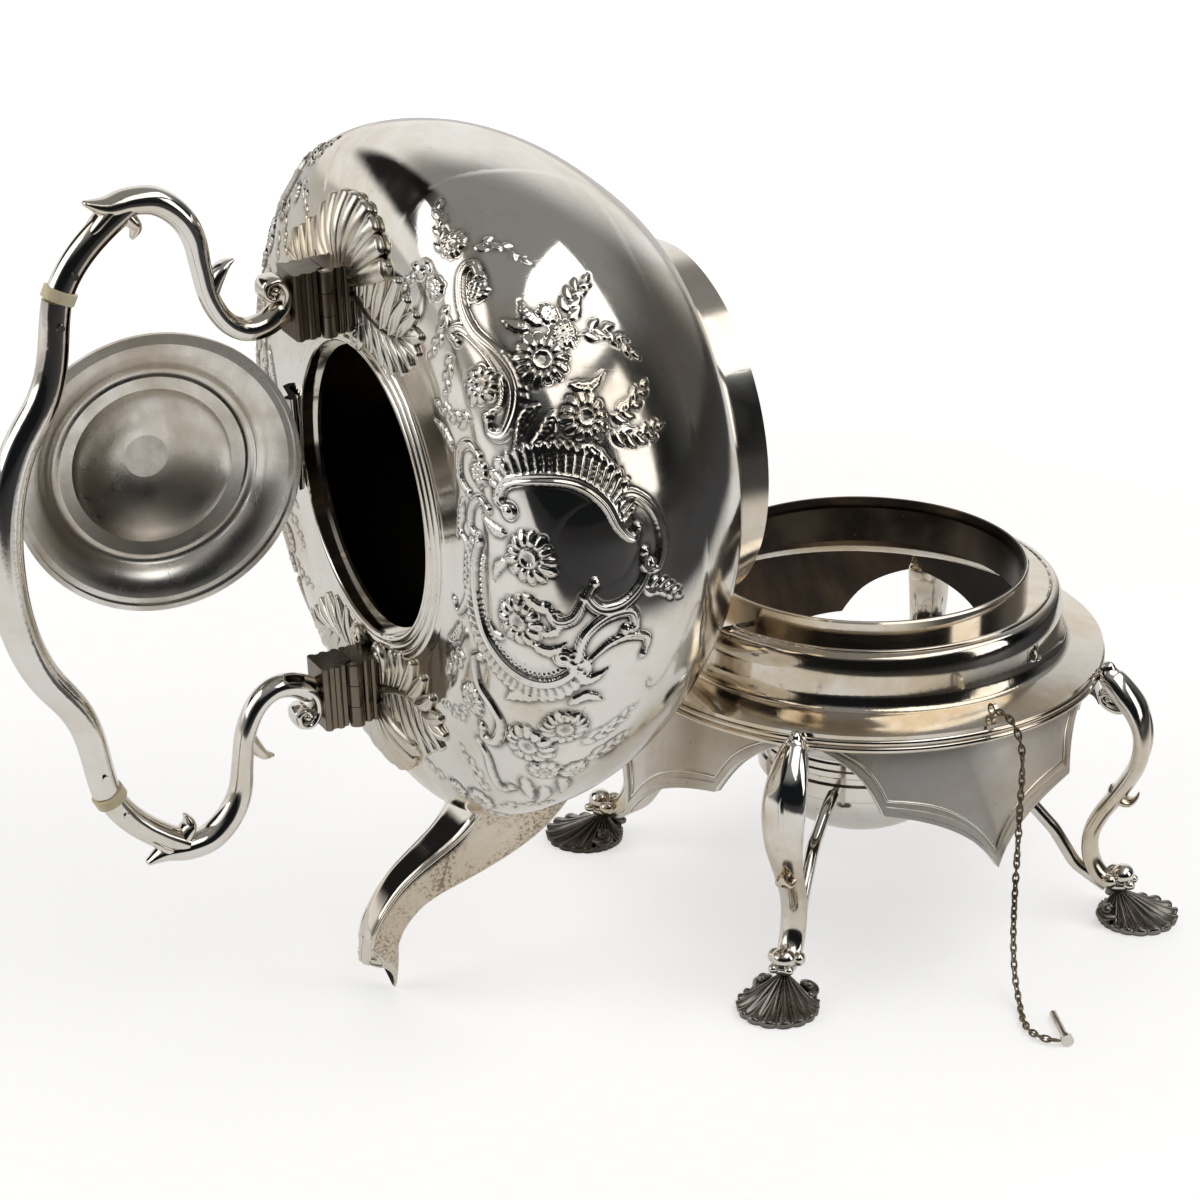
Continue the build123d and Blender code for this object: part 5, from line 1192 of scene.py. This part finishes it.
def spout_rings():
    """Rings of places round the spout, in the kettle's own frame in mm, from root to mouth."""
    rows = smooth_rows(SPOUT, 5)
    ways = np.gradient(rows[:, :2], axis=0)
    angles = [math.tau * number / SPOUT_SIDES for number in range(SPOUT_SIDES)]
    rings = []
    for number, ((x, height, size), way) in enumerate(zip(rows, ways)):
        way = way / np.linalg.norm(way)
        crisp = float(ease(number, 4, 16)) * (1 - 0.5 * float(ease(number, 44, 55)))
        ring = []
        for angle in angles:
            reach = size / 2 * facet_reach(angle if angle < math.pi else angle - math.tau, crisp)
            up, out = reach * math.cos(angle), reach * math.sin(angle)
            ring.append((x + way[1] * up, out, height - way[0] * up))
        rings.append(np.array(ring))
    middle, half = (SPOUT_LIP + SPOUT_TIP) / 2, (SPOUT_LIP - SPOUT_TIP) / 2
    mouth = []
    for angle in angles:
        up, out = math.cos(angle), math.sin(angle) * MOUTH_HALF
        out *= 1 - 0.42 * max(-up, 0) ** 3
        cut = MOUTH_CUT * math.sin(angle) ** 2
        mouth.append((middle[0] + half[0] * up + 0.9 * cut, out,
                      middle[1] + half[1] * up - 0.42 * cut))
    mouth = np.array(mouth)
    last = rings[-1]
    for share in (0.25, 0.5, 0.75, 0.93, 1.0):
        curl = 0.05 * math.sin(math.pi * share) - 0.03 * (share > 0.95)
        blend = last + (mouth - last) * share
        rings.append(blend + (blend - blend.mean(0)) * curl)
    return rings


def clear_of_body(ring, inset):
    """Places that would be inside the body are moved out into its wall."""
    ring = ring.copy()
    wall = np.interp(ring[:, 2], HEIGHT[:BELLY - 1:-1], RADIUS[:BELLY - 1:-1])
    upper = ring[:, 2] > HEIGHT[BELLY]
    wall[upper] = np.interp(ring[upper, 2], HEIGHT[BELLY::-1], RADIUS[BELLY::-1])
    wall = wall - inset
    least = -np.sqrt(np.maximum(wall ** 2 - ring[:, 1] ** 2, 0))
    ring[:, 0] = np.minimum(ring[:, 0], least)
    return ring


def inward(ring, wall):
    middle = ring.mean(0)
    away = ring - middle
    return middle + away * (1 - wall / np.linalg.norm(away, axis=1))[:, None]


def sculpted_spout():
    outer = spout_rings()
    inner = [inward(ring, SPOUT_WALL) for ring in outer]
    outer_walls = [clear_of_body(ring, 0.6) for ring in outer]
    inner_walls = [clear_of_body(ring, 0.9) for ring in inner]
    mouth_edge = (outer[-1] + inner[-1]) / 2 + (-0.25, 0, 0.1)
    stack = outer_walls + [mouth_edge] + inner_walls[::-1] + [outer_walls[0]]
    spout = bmesh.new()
    bore = spout.verts.layers.float.new("recess")
    worn = spout.verts.layers.float.new("worn")
    ring = bmesh.ops.create_circle(spout, cap_ends=False, radius=1, segments=SPOUT_SIDES)["verts"]
    order = {vert: number for number, vert in enumerate(ring)}
    edges = edges_of(ring)
    for level, places in enumerate(stack):
        if level:
            ring, edges = extruded(spout, edges)
            order = {vert: next(order[edge.other_vert(vert)] for edge in vert.link_edges
                                if edge.other_vert(vert) in order) for vert in ring}
        for vert, number in order.items():
            vert.co = Vector(places[number])
            angle = abs(math.remainder(math.tau * number / SPOUT_SIDES, math.tau))
            # Painted shade: the bore's inner walls are marked as recess, so they are painted dark.
            vert[bore] = float(level > len(outer_walls))
            vert[worn] = float(ease(angle, *RUBBED)) * float(level < len(outer_walls) - 3)
    bmesh.ops.remove_doubles(spout, verts=spout.verts, dist=1e-4)
    bmesh.ops.scale(spout, vec=(MM, MM, MM), verts=spout.verts)
    bmesh.ops.transform(spout, matrix=KETTLE, verts=spout.verts)
    cast("panelled_spout", spout, SILVER_SPOUT, "kettle", "spout")

    trim = bmesh.new()
    root = []
    for number in range(-20, 21):
        for ring, wall in zip(outer, outer_walls):
            place = ring[number]
            if abs(place[0] - wall[number][0]) < 1e-6:
                break
        root.append((*place, 1.0, 1.5))
    limb(trim, root[::2], KETTLE, rise=lambda place: Vector((place.x, place.y, 20)).normalized(),
         sides=10, per=3)
    corner = SPOUT_SIDES // 8
    for flank in (-1, 1):
        ridge = [(*ring[flank * corner], 0.5, 0.55) for ring in outer[12:-4:4]]
        curl = [(*outer[level][flank * number], 0.55, 0.6) for level, number in LIP_CURL]
        for rows in (ridge, curl):
            limb(trim, rows, KETTLE, rise=lambda place: Vector((0.4, 0, 1)).normalized(),
                 sides=8, per=4)
    crest = [(*outer[level][0], 0.5, 0.6) for level in (-6, -4, -3, -2)]
    limb(trim, crest, KETTLE, side=(0, -1, 0), sides=8, per=4)
    cast("spout_trim", trim, SILVER, "kettle")


sculpted_spout()


# ---- aprons' moulded edges --------------------------------------------------------------------
APRON_EDGE = [[(0.0, 45.6), (3.5, 50.7), (8.5, 55.7), (14.8, 59.7), (21.7, 62.5), (28.5, 64.3),
               (34.6, 65.3)],
              [(34.6, 65.3), (36.3, 70.1), (38.5, 74.7), (41.6, 78.7), (45.6, 81.9), (49.9, 84.5)]]
APRON_INNER = [[(0.0, 50.0), (3.2, 55.0), (8.0, 59.9), (14.0, 63.9), (20.6, 66.6), (27.4, 68.0),
                (33.2, 68.6)],
               [(33.2, 68.6), (34.6, 72.8), (36.4, 76.6), (39.2, 79.9), (42.6, 82.5), (46.4, 84.5)]]


def apron_spot(sideways, level, proud):
    """A place on an apron's flared face, in the rear apron's own frame."""
    radius = APRON_TOP_R + (APRON_TOP_Z - level) * APRON_SLOPE + proud
    return math.sqrt(radius ** 2 - sideways ** 2), sideways, level


def apron_edges():
    for number, name in enumerate(APRONS):
        turn = Matrix.Rotation(math.radians(90 * number), 4, "Z")
        edge = bmesh.new()
        for lines, size, proud in ((APRON_EDGE, 0.95, 0.6), (APRON_INNER, 0.5, 0.75)):
            for line in lines:
                for flank in (-1, 1):
                    rows = [(*apron_spot(flank * across, level, proud), size, size)
                            for across, level in line]
                    limb(edge, rows, turn, rise=lambda place: Vector((place.x, place.y, 0)),
                         sides=10, per=5)
        cast("apron_edge_" + name, edge, SILVER, "stand")


apron_edges()


# ---- studio -----------------------------------------------------------------------------------
FLOOR_HALF = 6.0
DARK_FRONT, DARK_CORNER = (0.36, 0.5), (0.19, 0.3)  # how far out the floor turns dark in mirrors
LENS, SENSOR = 120.6, 36
CAMERA_PLACE = Vector((-0.6358, -1.0579, 0.6374))
CAMERA_AIM = Vector((-0.09587, 0.00519, 0.12045))
LAMP_AIM = Vector((-0.05, 0, 0.12))


def studio_floor():
    sweep = bmesh.new()
    bmesh.ops.create_grid(sweep, x_segments=1, y_segments=1, size=FLOOR_HALF)
    mesh = bpy.data.meshes.new("studio_floor")
    sweep.to_mesh(mesh)
    sweep.free()
    floor = bpy.data.objects.new("studio_floor", mesh)
    bpy.context.scene.collection.objects.link(floor)
    finish = Finish("studio_floor")
    x, y, _ = finish.split(finish.coords())
    corner = 0.7 * x - 0.7 * y
    beyond = (0.0 - y).between(*DARK_FRONT).larger(corner.between(*DARK_CORNER))
    seen = finish.node("ShaderNodeLightPath", output="Is Camera Ray")
    away = ((x * x + y * y) ** 0.5).between(0.3, 1.1)
    tone = finish.mix(beyond * (1 - seen), (0.84, 0.835, 0.82), (0.07, 0.07, 0.075))
    # Painted reflection: near the kettle the floor glows for glossy rays, and farther out it is
    # dark for all but camera rays.
    mirrored = finish.node("ShaderNodeLightPath", output="Is Glossy Ray") * (1 - beyond)
    finish.set(Base_Color=tone, Roughness=0.6, Specular_IOR_Level=0.2, Emission_Color=(1, 1, 1),
               Emission_Strength=seen * (0.52 + 0.48 * away) + mirrored * (1 - seen) * 0.3)
    mesh.materials.append(finish.material)


def studio_world():
    """A white backdrop, a grey ceiling, a dark room in front and a dark far corner."""
    world = bpy.data.worlds.new("studio")
    bpy.context.scene.world = world
    finish = Finish("studio", world, "Background")
    x, y, z = finish.split(finish.node("ShaderNodeTexCoord", output="Generated"))
    backdrop = y.between(0.35, 0.75) * (1 - z.between(0.5, 0.8))
    room = (0.12 - y).between(0.0, 0.5) * (1 - z.between(0.45, 0.8))
    side = x.between(0.75, 0.95) * (1 - z.between(0.3, 0.6))
    corner = (0.0 - x).between(0.1, 0.3) * y.between(0.3, 0.6) * z.between(0.14, 0.26)
    tone = (0.26 + 0.70 * backdrop) * (1 - 0.96 * room) * (1 - 0.6 * side) * (1 - 0.985 * corner)
    seen = finish.node("ShaderNodeLightPath", output="Is Camera Ray")
    colour = finish.mix(room * (1 - seen), (1.0, 0.99, 0.97), (0.8, 0.9, 1.0))
    finish.set(Color=colour, Strength=tone * (1 - seen) + seen)


def softbox(name, away, wide, tall, power):
    """A lamp at a distance from the place that all lamps shine on."""
    light = bpy.data.lights.new(name, "AREA")
    light.shape = "RECTANGLE"
    light.size, light.size_y = wide, tall
    light.energy = power
    lamp = bpy.data.objects.new(name, light)
    lamp.location = LAMP_AIM + Vector(away)
    lamp.rotation_mode = "QUATERNION"
    lamp.rotation_quaternion = (LAMP_AIM - lamp.location).to_track_quat("-Z", "Y")
    bpy.context.scene.collection.objects.link(lamp)


def camera():
    view = bpy.data.cameras.new("camera")
    view.lens, view.sensor_width = LENS, SENSOR
    view.clip_start, view.clip_end = 0.05, 20
    holder = bpy.data.objects.new("camera", view)
    holder.location = CAMERA_PLACE
    holder.rotation_mode = "QUATERNION"
    holder.rotation_quaternion = (CAMERA_AIM - CAMERA_PLACE).to_track_quat("-Z", "Y")
    bpy.context.scene.collection.objects.link(holder)
    bpy.context.scene.camera = holder


studio_floor()
studio_world()
softbox("softbox_front", (0.52, -0.64, 1.26), 1.9, 0.8, 7.6)
softbox("softbox_right", (0.90, -0.86, 0.42), 0.5, 0.8, 2.2)
softbox("softbox_left", (-1.27, 0.38, 0.69), 1.0, 1.0, 5.4)
camera()
bpy.context.scene.view_settings.view_transform = "Standard"
